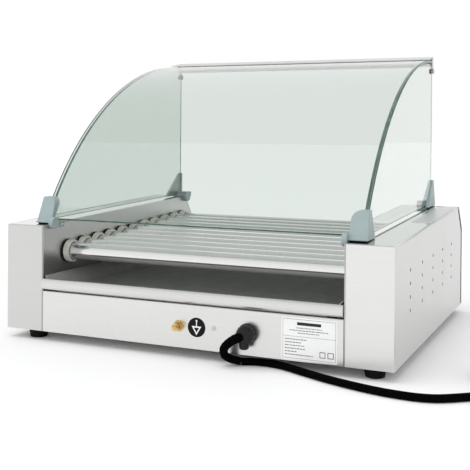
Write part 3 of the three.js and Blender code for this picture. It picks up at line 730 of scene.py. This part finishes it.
def inner_wall(name, side):
    """Sheet between a box and the tray, its front edge folded round, with a hole for every roller."""
    inner, outer = inset(side, BOX_WIDTH), inset(side, BOX_WIDTH - SHEET)
    bm = solid(prism, "x", min(inner, outer), max(inner, outer), side_outline(SHEET + GAP, SHEET + 0.6))
    soften(bm, 0.7, 3)
    tools = bmesh.new()
    for i in range(ROLLERS):
        prism(tools, "x", inner - 5, inner + 5, circle(*roller_axis(i), COLLAR_HOLE, 40))
    sheet = carved(bm, tools)
    return piece(f"{name}_wall_sheet", sheet, STEEL_WALL, replaces=(f"{name}_inner_wall",))


def inlet_panel():
    """Panel under the tray's lip on the inlet side, folded back along its top."""
    low, high = span("inlet_panel")
    bm = bmesh.new()
    rows = [[bm.verts.new((x, y, z)) for y, z in ((low.y, low.z), (low.y, high.z), (high.y, high.z))]
            for x in (low.x, high.x)]
    for i in range(2):
        bm.faces.new((rows[0][i], rows[0][i + 1], rows[1][i + 1], rows[1][i]))
    sheet_metal(bm, 2.2, Vector((0, high.y, low.z)))
    return piece("inlet_panel_sheet", bm, STEEL_PANEL, replaces=("inlet_panel",))


def foot(node):
    """Rubber foot, cone-shaped with rounded rims, and the screw head in its hollow underside."""
    centre = middle(node)
    top = span(node)[1].z
    bm = solid(lathe, "z", (centre.x, centre.y), [
        (0, 3), (4.5, 3), (5, 2.6), (5.4, 0.4), (6, 0), (11.4, 0), (12.4, 0.8), (13.2, 5),
        (14.6, top - 1.4), (14.8, top - 0.5), (14.2, top), (0, top),
    ])
    made = piece(f"{node}_rubber", bm, RUBBER, replaces=(node,))
    bm = bmesh.new()
    head = [(0, 2.9), (3.6, 2.9), (3.8, 2.4), (3.2, 1.4), (1.8, 1.0), (0, 0.9)]
    lathe(bm, "z", (centre.x, centre.y), head, 24)
    piece(f"{node}_screw", bm, STEEL_FASTENER)
    return made


def screw(name, centre, normal, radius):
    """Pan-head screw with a cross recess, its head standing out along normal."""
    bm = bmesh.new()
    head = [(radius, -0.6), (radius, 0.5), (radius * 0.92, 1.0), (radius * 0.6, 1.5), (radius * 0.2, 1.75)]
    lathe(bm, "z", (0, 0), head, 28)
    tools = bmesh.new()
    arm, width = radius * 0.62, radius * 0.13
    prism(tools, "z", 0.85, 3, [
        (arm, -width), (arm, width), (width, width), (width, arm), (-width, arm), (-width, width),
        (-arm, width), (-arm, -width), (-width, -width), (-width, -arm), (width, -arm), (width, -width),
    ])
    head_mesh = carved(bm, tools)
    turn = Vector(normal).to_track_quat("Z", "Y").to_matrix().to_4x4()
    head_mesh.transform(Matrix.Translation(centre) @ turn)
    return piece(name, head_mesh, STEEL_FASTENER)


for side_name, direction in SIDES:
    cover(side_name, direction)
    rear_gap_shade(side_name, direction)
    inner_wall(side_name, direction)
inlet_panel()
refined("control_panel_sheet", "control_panel", STEEL_PANEL, 0.6, 2)
for end in ("front", "rear"):
    for side_name, direction in SIDES:
        foot(f"foot_{end}_{side_name}")


# -------- glass guard
def guard_point(radius, turn):
    return (
        Y(GUARD_CENTRE[0]) - radius * math.cos(turn),
        Z(GUARD_CENTRE[1]) + radius * math.sin(turn),
    )


def guard_arc(radius, start, end, steps):
    return [guard_point(radius, start + (end - start) * i / steps) for i in range(steps + 1)]


def height_turn(height, radius=GUARD_RADIUS):
    return math.asin((height - GUARD_CENTRE[1]) / radius)


def depth_turn(depth, radius=GUARD_RADIUS):
    return math.acos((GUARD_CENTRE[0] - depth) / radius)


def pane_section(half, radius, arris):
    """Cross section of the bent pane at one height, as (x, radius) points with its arrises ground off."""
    inside = radius - GLASS
    return [
        (-half + arris, radius), (half - arris, radius), (half, radius - arris), (half, inside + arris),
        (half - arris, inside), (-half + arris, inside), (-half, inside + arris), (-half, radius - arris),
    ]


def curved_glass():
    half = HALF_WIDTH - GUARD_INSET
    start, end = height_turn(GUARD_BOTTOM), depth_turn(GUARD_END)
    arris = GUARD_ARRIS
    skip = arris / GUARD_RADIUS
    stations = [start + skip + (end - start - 2 * skip) * i / 72 for i in range(73)]
    rings = []
    for turn, shrink in [(start, arris), *((turn, 0) for turn in stations), (end, arris)]:
        ring = []
        for x, radius in pane_section(half - shrink, GUARD_RADIUS, arris):
            if shrink:
                radius = min(max(radius, GUARD_RADIUS - GLASS + arris), GUARD_RADIUS - arris)
            y, z = guard_point(radius, turn)
            ring.append(Vector((x, y, z)))
        rings.append(ring)
    bm = bmesh.new()
    faces = skin(bm, rings)
    for i, face in enumerate(faces):
        row, strip = divmod(i, 8)
        at_end = row in (0, len(rings) - 2)
        if i >= len(faces) - 2 or strip in (2, 6):
            face.material_index = 2
        elif at_end or strip in (1, 3, 5, 7):
            face.material_index = 1
    return piece("bent_pane", bm, [CLEAR, EDGE_DARK, EDGE_LIGHT], replaces=("curved_glass",))


def side_glass(name, side):
    radius = GUARD_RADIUS - GLASS - 0.6
    start = height_turn(top_at(34) + SIDE_GLASS_LIFT, radius)
    end = depth_turn(SIDE_GLASS_REAR, radius)
    rear_foot = (Y(SIDE_GLASS_REAR), Z(top_at(SIDE_GLASS_REAR) + SIDE_GLASS_LIFT))
    outline = [*guard_arc(radius, start, end, 64), rear_foot]
    x = between(side, SIDE_GLASS_INSET, SIDE_GLASS_INSET + GLASS)
    bm = solid(prism, "x", *x, outline)
    bmesh.ops.recalc_face_normals(bm, faces=bm.faces)
    rims = [e for e in bm.edges if abs(abs(e.calc_face_angle()) - math.pi / 2) < 0.1 and abs(
        e.verts[0].co.x - e.verts[1].co.x) < 0.01]
    bmesh.ops.bevel(bm, geom=rims, offset=0.6, segments=1, affect="EDGES")
    for face in bm.faces:
        across = abs(face.normal.x)
        face.material_index = 0 if across > 0.95 else (1 if across > 0.2 else 2)
    return piece(f"{name}_side_pane", bm, [CLEAR, EDGE_DARK, EDGE_LIGHT],
                 replaces=(f"{name}_side_glass",))


def melted(bm, voxel, passes):
    """Overlapping closed solids in bm fused into one skin with moulded, rounded edges."""
    bmesh.ops.recalc_face_normals(bm, faces=bm.faces)
    made = placed("lumps", as_mesh("lumps", bm))
    remesh = made.modifiers.new("remesh", "REMESH")
    remesh.mode = "VOXEL"
    remesh.voxel_size = voxel
    soft = made.modifiers.new("smooth", "SMOOTH")
    soft.factor = 0.5
    soft.iterations = passes
    thin = made.modifiers.new("thin", "DECIMATE")
    thin.ratio = 0.35
    result = bmesh.new()
    result.from_object(made, bpy.context.evaluated_depsgraph_get())
    bpy.data.objects.remove(made)
    return result


def rectangle(left, right, bottom, top):
    return [(left, bottom), (right, bottom), (right, top), (left, top)]


CLAMP_OUTER = 39
CLAMP_WIDTH = 25
CLAMP_BASE = 155.2
CLAMP_FOOT = 2
CLAMP_TOP = 192.5
CLAMP_LEAN = 2.3
JAW_FOOT = 6.3
JAW_GROWS = 6.7
LOBE_START = 64.5
LOBE_END = 72
LOBE_PLACE = (19.5, 155.5)
LOBE_RADIUS = 8.7
CLAMP_SCREW = (41, 151.8)


def front_clamp(name, side):
    """Moulded clamp: leaning jaw with a domed inner corner, side web, foot and lobe over the inner wall."""
    bm = bmesh.new()
    base, top = CLAMP_BASE + 0.6, CLAMP_TOP
    dome = 13
    rings = []
    for thickness, thicker in ((JAW_FOOT, JAW_GROWS), (0.4, 0)):
        ring = []
        shape = [(0, base), (0, top), (CLAMP_WIDTH - dome, top)]
        shape += [
            (CLAMP_WIDTH - dome + dome * math.sin(t), top - dome + dome * math.cos(t))
            for t in (math.radians(a) for a in range(9, 91, 9))
        ]
        shape += [(CLAMP_WIDTH, base)]
        for across, height in shape:
            rise = (height - base) / (top - base)
            radius = GUARD_RADIUS + thickness + thicker * rise
            y, z = guard_point(radius, height_turn(height, radius))
            ring.append(Vector((inset(side, CLAMP_OUTER + max(across, CLAMP_LEAN * rise)), y, z)))
        rings.append(ring)
    skin(bm, rings)
    web = ((21, CLAMP_BASE, 0), (54, CLAMP_BASE, 0), (47, 188, CLAMP_LEAN), (36, 192, CLAMP_LEAN))
    skin(bm, [
        [(inset(side, CLAMP_OUTER + lean), Y(depth), Z(height)) for depth, height, lean in web],
        [(inset(side, GUARD_INSET - 0.5), Y(depth), Z(height)) for depth, height, lean in web],
    ])
    low = rectangle(Y(16), Y(54), Z(CLAMP_BASE), Z(CLAMP_BASE + CLAMP_FOOT))
    prism(bm, "x", *between(side, CLAMP_OUTER, LOBE_END), low)
    ends = between(side, LOBE_START, LOBE_END)
    prism(bm, "x", *ends, circle(Y(LOBE_PLACE[0]), Z(LOBE_PLACE[1]), LOBE_RADIUS, 40))
    tab = rounded((Y(20), Z(147.5)), (Y(48), Z(CLAMP_BASE + 1.5)), 3.8)
    prism(bm, "x", *between(side, LOBE_START, LOBE_START + 3), tab)
    node = f"front_{name}_clamp"
    made = piece(f"{node}_body", melted(bm, 0.55, 5), CLAMP, replaces=(node,))
    # Black strip that fills the gap between the clamp's foot and the casing top.
    gap_fill = solid(prism, "x", *between(side, CLAMP_OUTER + 1, BOX_WIDTH - 0.5), [
        (Y(20.5), Z(top_at(20.5) + 0.05)), (Y(53), Z(top_at(53) + 0.05)), (Y(53), Z(CLAMP_BASE + 0.6)),
        (Y(20.5), Z(CLAMP_BASE + 0.6)),
    ])
    piece(f"{node}_pad", gap_fill, BLACK_PARTS_AND_SHADE, bevel=0.3)
    face = inset(side, LOBE_START + 3)
    screw(f"{node}_screw", (face, Y(CLAMP_SCREW[0]), Z(CLAMP_SCREW[1])), (-side, 0, 0), 3.2)
    return made


def rear_clamp(name, side):
    """Moulded clamp at the rear: triangular fin outside the pane, stop behind it, foot and hooked lobe."""
    front_y, rear_y, bottom, top = Y(405), Y(461), Z(168), Z(211)
    stop_y = Y(SIDE_GLASS_REAR + 0.5)
    outer = inset(side, SIDE_GLASS_INSET - 6.4)
    pane = inset(side, SIDE_GLASS_INSET - 0.5)
    thin = inset(side, SIDE_GLASS_INSET - 3.6)
    past = inset(side, SIDE_GLASS_INSET + GLASS + 0.5)
    end = inset(side, LOBE_END)
    bm = solid(skin, [
        [(outer, front_y, bottom), (outer, rear_y, bottom), (thin, rear_y, top), (thin, Y(452), top)],
        [(pane, front_y, bottom), (pane, rear_y, bottom), (pane, rear_y, top), (pane, Y(452), top)],
    ])
    prism(bm, "x", *sorted((outer, end)), rectangle(Y(436), rear_y, bottom, bottom + CLAMP_FOOT))
    prism(bm, "x", *sorted((thin, past)), rectangle(stop_y, rear_y, bottom, top))
    prism(bm, "x", *sorted((past, end)), rectangle(Y(440), rear_y, bottom, bottom + 8))
    prism(bm, "x", *sorted((inset(side, LOBE_START), end)), circle(Y(449), Z(167), 9.2, 36))
    node = f"rear_{name}_clamp"
    return piece(f"{node}_body", melted(bm, 0.55, 4), CLAMP, replaces=(node,))


def trim_fixings():
    """Screw, reddish fibre washer and dark inner washer at each end of the trim."""
    for name, side in SIDES:
        face = inset(side, SIDE_GLASS_INSET - 0.3 - SHEET)
        place = (Y(TRIM_SCREW[0]), Z(TRIM_SCREW[1]))
        bm = solid(prism, "x", *sorted((face, face + side * 1.0)), circle(*place, 4.6, 28))
        piece(f"{name}_trim_washer", bm, FIBRE, bevel=0.2)
        screw(f"{name}_trim_screw", (face + side * 1.0, *place), (side, 0, 0), 3.4)
        inner = inset(side, SIDE_GLASS_INSET + GLASS)
        bm = solid(lathe, "x", place, [
            (0, inner), (4.8, inner), (4.8, inner - side * 2.4), (4.2, inner - side * 3),
            (0, inner - side * 3),
        ], 28)
        piece(f"{name}_trim_nut", bm, BLACK_PARTS_AND_SHADE)


curved_glass()
for side_name, direction in SIDES:
    side_glass(side_name, direction)
    front_clamp(side_name, direction)
    rear_clamp(side_name, direction)
refined("top_trim_strip", "top_trim", STEEL_TRIM, 0.35, 2)
trim_fixings()


# -------- drip tray
def drip_tray():
    """Dark pan with sloping ends, its front wall and the bright rolled lip."""
    low, high = span("drip_tray")
    floor = low.z + SHEET
    front_y = Y(0)
    ends = [(low.x, high.z), (low.x + TRAY_SLOPE, low.z), (high.x - TRAY_SLOPE, low.z), (high.x, high.z)]
    bm = bmesh.new()
    depths = (front_y + SHEET, high.y)
    rows = [[bm.verts.new((x, y, z)) for x, z in ends] for y in depths]
    for i in range(3):
        bm.faces.new((rows[0][i], rows[0][i + 1], rows[1][i + 1], rows[1][i]))
    bm.faces.new(rows[1])
    bmesh.ops.recalc_face_normals(bm, faces=bm.faces)
    bm.normal_update()
    flat = max(bm.faces, key=lambda f: abs(f.normal.z) * f.calc_area())
    if flat.normal.z > 0:
        bmesh.ops.reverse_faces(bm, faces=bm.faces)
    folds = [e for e in bm.edges if len(e.link_faces) == 2]
    bmesh.ops.bevel(bm, geom=folds, offset=3.0, segments=4, affect="EDGES", profile=0.5)
    bmesh.ops.solidify(bm, geom=bm.faces[:], thickness=1.2)
    pan = piece("tray_pan", bm, PAN, "tray", replaces=("drip_tray",))
    bm = bmesh.new()
    bottom, top = (Z(height) for height in TRAY_LIP)
    bulge = [(Y(1.4), bottom), (Y(-1.2), bottom), *(
        (Y(-1.2) - 3.8 * math.sin(t), (bottom + top) / 2 - (top - bottom) / 2 * math.cos(t))
        for t in (math.pi * i / 18 for i in range(1, 18))
    ), (Y(-1.2), top), (Y(1.4), top), (Y(1.4), bottom + 1)]
    prism(bm, "x", inset(-1, BOX_WIDTH + GAP), inset(1, BOX_WIDTH + GAP), bulge)
    piece("tray_lip", bm, STEEL_LIP, "tray", bevel=0.5)
    bm = solid(block, (low.x + 1.2, front_y + 1.2, floor - 0.5), (high.x - 1.2, front_y + 2.6, top - 1))
    piece("tray_front_wall", bm, PAN, "tray", bevel=0.3)
    return pan


drip_tray()


# -------- rollers, collars and drive
def roller(i):
    """Polished tube, open at both ends, with its rims broken."""
    node = f"roller_{i + 1:02d}"
    low, high = span(node)
    outer, inner = TUBE_RADIUS, TUBE_RADIUS - TUBE_WALL
    bm = solid(lathe, "x", roller_axis(i), [
        (inner, low.x), (outer - 0.25, low.x), (outer, low.x + 0.3), (outer, high.x - 0.3),
        (outer - 0.25, high.x), (inner, high.x),
    ], 72, looped=True)
    return piece(f"{node}_tube", bm, STEEL_ROLLER, f"{node}_body", (node,))


def collar(name, side, i):
    """Turned plastic collar with a soft outer edge and a black ring between it and the wall."""
    ring = [
        (13.2, 0.4), (15.4, 0.4), (15.4, 3.0), (16.4, 3.0), (16.9, 3.5), (16.9, 10.4), (16.5, 11.5),
        (15.6, 12.0), (14.0, 12.0), (13.2, 11.4),
    ]
    black_ring = [(15.6, 0.05), (17.4, 0.05), (17.7, 0.5), (17.6, 2.7), (17.3, 2.9), (15.6, 2.9)]
    bm = bmesh.new()
    for index, profile in enumerate((ring, black_ring)):
        outline = [(radius, inset(side, BOX_WIDTH + along)) for radius, along in profile]
        for face in lathe(bm, "x", roller_axis(i), outline, 56, looped=True):
            face.material_index = index
    strip = (f"{name}_bearing_strip",) if i == 0 else ()
    return piece(f"{name}_collar_{i + 1:02d}", bm, [RING, BLACK_PARTS_AND_SHADE], replaces=strip)


def collar_rail(name, side):
    """Strip inside the box that carries the necks of all eleven collars."""
    first, last = roller_axis(0), roller_axis(ROLLERS - 1)
    x = between(side, BOX_WIDTH - SHEET - GAP, BOX_WIDTH - SHEET - 2.6)
    bm = solid(prism, "x", *x, [
        (first[0] - 16, first[1] - 15), (last[0] + 16, last[1] - 15), (last[0] + 16, last[1] + 15),
        (first[0] - 16, first[1] + 15),
    ])
    soften(bm, 0.4, 1)
    tools = bmesh.new()
    for i in range(ROLLERS):
        prism(tools, "x", x[0] - 5, x[1] + 5, circle(*roller_axis(i), 13.4, 36))
    return piece(f"{name}_collar_rail", carved(bm, tools), RING)


PITCH = 6
PITCH_RADIUS = PITCH / 2 / math.sin(math.pi / 16)


def chain_path():
    """Closed line of a chain drawn tight round the first, the motor's and the last wheel."""
    motor = middle("motor_sprocket")
    centres = [roller_axis(0), (motor.y, motor.z), roller_axis(ROLLERS - 1)]
    points = []
    for i, (u, v) in enumerate(centres):
        before, after = centres[i - 1], centres[(i + 1) % 3]
        start = math.atan2(v - before[1], u - before[0]) - math.pi / 2
        end = math.atan2(after[1] - v, after[0] - u) - math.pi / 2
        end += 2 * math.pi if end < start else 0
        points += [
            on_circle(u, v, PITCH_RADIUS, start + (end - start) * step / 40) for step in range(41)
        ]
    return [Vector(p) for p in points]


def evenly(points, count):
    """The closed line again, as count points the same distance apart."""
    closed = [*points, points[0]]
    total = length_of(closed)
    spaced, walked, k = [], 0.0, 0
    for i in range(count):
        target = total * i / count
        while walked + (closed[k + 1] - closed[k]).length < target:
            walked += (closed[k + 1] - closed[k]).length
            k += 1
        share = (target - walked) / max((closed[k + 1] - closed[k]).length, 1e-9)
        spaced.append(closed[k].lerp(closed[k + 1], share))
    return spaced


def link_plate(bm, x, thickness, a, b):
    """Plate of a chain link: two round ends round the pins a and b."""
    along = (b - a).normalized()
    turn = math.degrees(math.atan2(along.y, along.x))
    outline = arc(a.x, a.y, 2.4, turn + 90, turn + 270, 6) + arc(b.x, b.y, 2.4, turn - 90, turn + 90, 6)
    prism(bm, "x", x, x + thickness, outline)


def drive_chain():
    """Roller chain, link by link: outer and inner plates in turn, with a bush at every pin."""
    line = chain_path()
    count = 2 * round(length_of([*line, line[0]]) / PITCH / 2)
    pins = evenly(line, count)
    low, high = span("drive_chain")
    centre = (low.x + high.x) / 2
    bm = bmesh.new()
    for i, a in enumerate(pins):
        b = pins[(i + 1) % count]
        offset = 2.4 if i % 2 else 1.7
        for side in (-1, 1):
            link_plate(bm, centre + side * offset - 0.3, 0.6, a, b)
        ends = (centre - 2.9, centre + 2.9)
        bush = [(0, ends[0]), (1.15, ends[0]), (1.15, ends[1]), (0, ends[1])]
        lathe(bm, "x", (a.x, a.y), bush, 10)
    return piece("chain_links", bm, STEEL_DRIVE, replaces=("drive_chain",))


for i in range(ROLLERS):
    roller(i)
    for side_name, direction in SIDES:
        collar(side_name, direction, i)
for side_name, direction in SIDES:
    collar_rail(side_name, direction)
drive_chain()
refined("motor_and_gearbox", "gear_motor", STEEL_DRIVE, 0.8, 2)


# -------- inlet panel's fittings
def earth_terminal():
    """Brass stud with a washer, a chamfered nut and turned threads."""
    x, z = EARTH_PLACE[0], Z(EARTH_PLACE[1])
    bm = solid(turned_out, (x, z), [(0, 0), (7.6, 0.05), (7.9, 0.4), (7.6, 1.2), (0, 1.2)], 40)
    prism(bm, "y", Y(-1.2), Y(-6), circle(x, z, 6.35, 6, math.radians(12)))
    soften(bm, 0.5, 2, 50)
    threads = [(0, 5)]
    for out in range(6, 16):
        threads += [(3.0, out), (2.55, out + 0.5)]
    turned_out(bm, (x, z), [*threads, (2.2, 16), (0, 16)], 28)
    nut = [(2.6, 7.6), (5.0, 7.7), (5.3, 8.2), (5.3, 11.2), (5.0, 11.7), (2.6, 11.8)]
    turned_out(bm, (x, z), nut, 14, True)
    return piece("earth_stud", bm, BRASS, replaces=("earth_terminal",))


def flat_shape(bm, outline, thick, base=0.0):
    """Printed or stuck-on shape on the inlet panel, an (x, z) outline standing out by thick."""
    return prism(bm, "y", Y(0) - base, Y(0) - base - thick, outline)


def bond_sticker():
    """Round black sticker with the bonding symbol: a stem over a triangle that points down, in white."""
    x, z = STICKER_PLACE[0], Z(STICKER_PLACE[1])
    bm = solid(flat_shape, circle(x, z, 13, 56), 0.25)
    piece("bond_sticker", bm, STICKER)
    bm = solid(flat_shape, rectangle(x - 0.7, x + 0.7, z + 1.5, z + 8.8), 0.12, 0.25)
    flat_shape(bm, circle(x, z + 8.8, 1.3, 20), 0.14, 0.25)
    outer = [(x - 7.2, z + 1.6), (x + 7.2, z + 1.6), (x, z - 10.2)]
    inner = [(x - 3.9, z - 0.4), (x + 3.9, z - 0.4), (x, z - 6.8)]
    for i in range(3):
        j = (i + 1) % 3
        flat_shape(bm, [outer[i], outer[j], inner[j], inner[i]], 0.12, 0.25)
    piece("bond_symbol", bm, SYMBOL)
    bm = solid(flat_shape, circle(x, z - 2.4, 2.1, 24), 0.14, 0.25)
    piece("bond_dot", bm, STICKER)


def rating_label():
    """White plate label with a thin border, a divider, and rows of plain dashes in place of text."""
    low, high = ((x, Z(height)) for x, height in (LABEL_LOW, LABEL_HIGH))
    bm = solid(flat_shape, rounded(low, high, 1.2), 0.2)
    piece("rating_label", bm, PAPER)
    random.seed(7)
    bm = bmesh.new()

    def bar(x0, x1, z0, z1):
        flat_shape(bm, rectangle(x0, x1, z0, z1), 0.05, 0.2)

    left, right, bottom, top = low[0] + 2, high[0] - 2, low[1] + 2, high[1] - 2
    rule = 0.3
    divider = bottom + (top - bottom) * 0.56
    for z in (bottom, divider, top - rule):
        bar(left, right, z, z + rule)
    for x in (left, right - rule):
        bar(x, x + rule, bottom, top)

    def text_row(x0, x1, z, height):
        x = x0
        while x < x1 - 1:
            width = min(random.uniform(1.2, 4.2), x1 - x)
            bar(x, x + width, z, z + height)
            x += width + 0.9

    centre = (left + right) / 2
    bar(centre - 16, centre + 16, top - 7.4, top - 3.6)
    for row, half in enumerate((17, 26, 15)):
        text_row(centre - half, centre + half, top - 11.4 - 3.2 * row, 0.9)
    for row, length in enumerate((30, 22, 26, 28, 16, 38)):
        text_row(left + 3, left + 3 + length, divider - 4.2 - 3.9 * row, 0.95)
    for x, width in ((right - 21, 7.5), (right - 10.5, 8)):
        bar(x, x + width, bottom + 4, bottom + 4.8)
        bar(x, x + width, bottom + 10.7, bottom + 11.5)
        bar(x, x + 0.8, bottom + 4.8, bottom + 10.7)
        bar(x + width - 0.8, x + width, bottom + 4.8, bottom + 10.7)
    piece("label_print", bm, PRINT)


earth_terminal()
bond_sticker()
screw("panel_screw", (PANEL_SCREW[0], Y(0), Z(PANEL_SCREW[1])), (0, -1, 0), 3.2)
rating_label()


# -------- operator's controls
def knob(name):
    """Skirted knob with a raised finger bar, fluted round its waist."""
    low, high = span(f"{name}_knob")
    centre = middle(f"{name}_knob")
    x, z = centre.x, centre.z
    base = low.y
    bm = solid(lathe, "y", (x, z), [
        (0, base), (18.6, base), (19, base + 0.5), (19, base + 2), (18.3, base + 2.8), (15.6, base + 3.6),
        (15, base + 5), (14.5, base + 9.2), (13.6, base + 10.2), (0, base + 10.6),
    ], 64)
    bar = solid(prism, "y", base + 4, high.y, rounded((x - 4.2, z - 14.6), (x + 4.2, z + 14.6), 3.6))
    soften(bar, 1.0, 3)
    bm.from_mesh(as_mesh("finger_bar", bar))
    for i in range(20):
        place = on_circle(x, z, 14.9, 2 * math.pi * i / 20)
        lathe(bm, "y", place, [(0, base + 3.8), (0.8, base + 4), (0.7, base + 9), (0, base + 9.4)], 8)
    piece(f"{name}_knob_grip", bm, PLASTIC, f"{name}_knob_body", (f"{name}_knob",))
    bm = solid(prism, "y", high.y, high.y + 0.15, rounded((x - 0.7, z + 4), (x + 0.7, z + 13.6), 0.6))
    piece(f"{name}_knob_mark", bm, SYMBOL, f"{name}_knob_body")
    bm = bmesh.new()
    for i in range(11):
        turn = math.radians(90 + 30 * i)
        reach = 25.6 if i % 5 else 27
        across = Vector((math.sin(turn), -math.cos(turn))) * 0.45
        ends = [Vector((math.cos(turn), math.sin(turn))) * r for r in (22, reach)]
        corners = [ends[0] - across, ends[0] + across, ends[1] + across, ends[1] - across]
        prism(bm, "y", REAR_FACE, REAR_FACE + 0.06, [(x + c.x, z + c.y) for c in corners])
    piece(f"{name}_dial_marks", bm, PRINT)


def power_switch():
    """Framed rocker switch with a bar and a ring on the rocker's two ends."""
    refined("switch_frame", "switch_body", PLASTIC, 0.5, 2)
    refined("rocker_cap", "power_rocker", PLASTIC, 0.5, 2, "rocker")
    tilt = math.radians(-9)
    pivot = Vector((0, REAR_FACE, Z(ROCKER_HEIGHT)))
    turn = Matrix.Translation(pivot) @ Matrix.Rotation(tilt, 4, "X")
    bm = solid(prism, "y", 3.0, 3.25, rounded((-0.5, 4.6), (0.5, 8.4), 0.4))
    ring = [(1.3, 3.0), (1.9, 3.0), (1.9, 3.25), (1.3, 3.25)]
    lathe(bm, "y", (0, -6.4), ring, 28, looped=True)
    bm.transform(turn)
    piece("rocker_marks", bm, SYMBOL, "rocker")


for side_name, direction in SIDES:
    knob(side_name)
power_switch()


# -------- carried-over CAD nodes
def dress(node, made):
    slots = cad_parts[node].data.materials
    slots.clear()
    slots.append(made)


dress("base_plate", STEEL_PANEL)
dress("heater_rack", STEEL_ELEMENT)
dress("terminal_block", PLASTIC)
dress("motor_sprocket", STEEL_DRIVE)
for side_name, direction in SIDES:
    dress(f"{side_name}_thermostat", STEEL_DRIVE)
for i in range(ROLLERS):
    dress(f"sprocket_{i + 1:02d}", STEEL_DRIVE)


# -------- floor and light
def floor():
    """White sweep that the object stands on."""
    made = material("floor", (0.93, 0.93, 0.93), 0.9, Specular_IOR_Level=0.1)
    bm = bmesh.new()
    bmesh.ops.create_grid(bm, x_segments=1, y_segments=1, size=30)
    sweep = placed("floor", as_mesh("floor", bm))
    sweep.data.materials.append(made)


def surroundings():
    """Even white studio, a little darker overhead."""
    world = bpy.data.worlds.new("studio")
    bpy.context.scene.world = world
    world.use_nodes = True
    nodes, links = world.node_tree.nodes, world.node_tree.links
    background = nodes["Background"]
    place = nodes.new("ShaderNodeTexCoord")
    split = nodes.new("ShaderNodeSeparateXYZ")
    ramp = nodes.new("ShaderNodeValToRGB")
    stops = ramp.color_ramp.elements
    stops[0].position, stops[0].color = 0.35, (1, 1, 1, 1)
    stops[1].position, stops[1].color = 0.95, (0.7, 0.7, 0.71, 1)
    links.new(place.outputs["Generated"], split.inputs["Vector"])
    links.new(split.outputs["Z"], ramp.inputs["Fac"])
    links.new(ramp.outputs["Color"], background.inputs["Color"])
    background.inputs["Strength"].default_value = 1.0


def soft_sun(name, toward, strength, spread):
    """Light from far away through a wide screen, which isn't seen in the glass or the steel."""
    data = bpy.data.lights.new(name, "SUN")
    data.energy = strength
    data.angle = math.radians(spread)
    lamp = placed(name, data)
    lamp.rotation_euler = Vector(toward).to_track_quat("-Z", "Y").to_euler()
    lamp.visible_glossy = False
    lamp.visible_transmission = False


floor()
surroundings()
soft_sun("key", (0.25, 0.3, -1), 1.1, 60)
bpy.context.scene.view_settings.view_transform = "Standard"
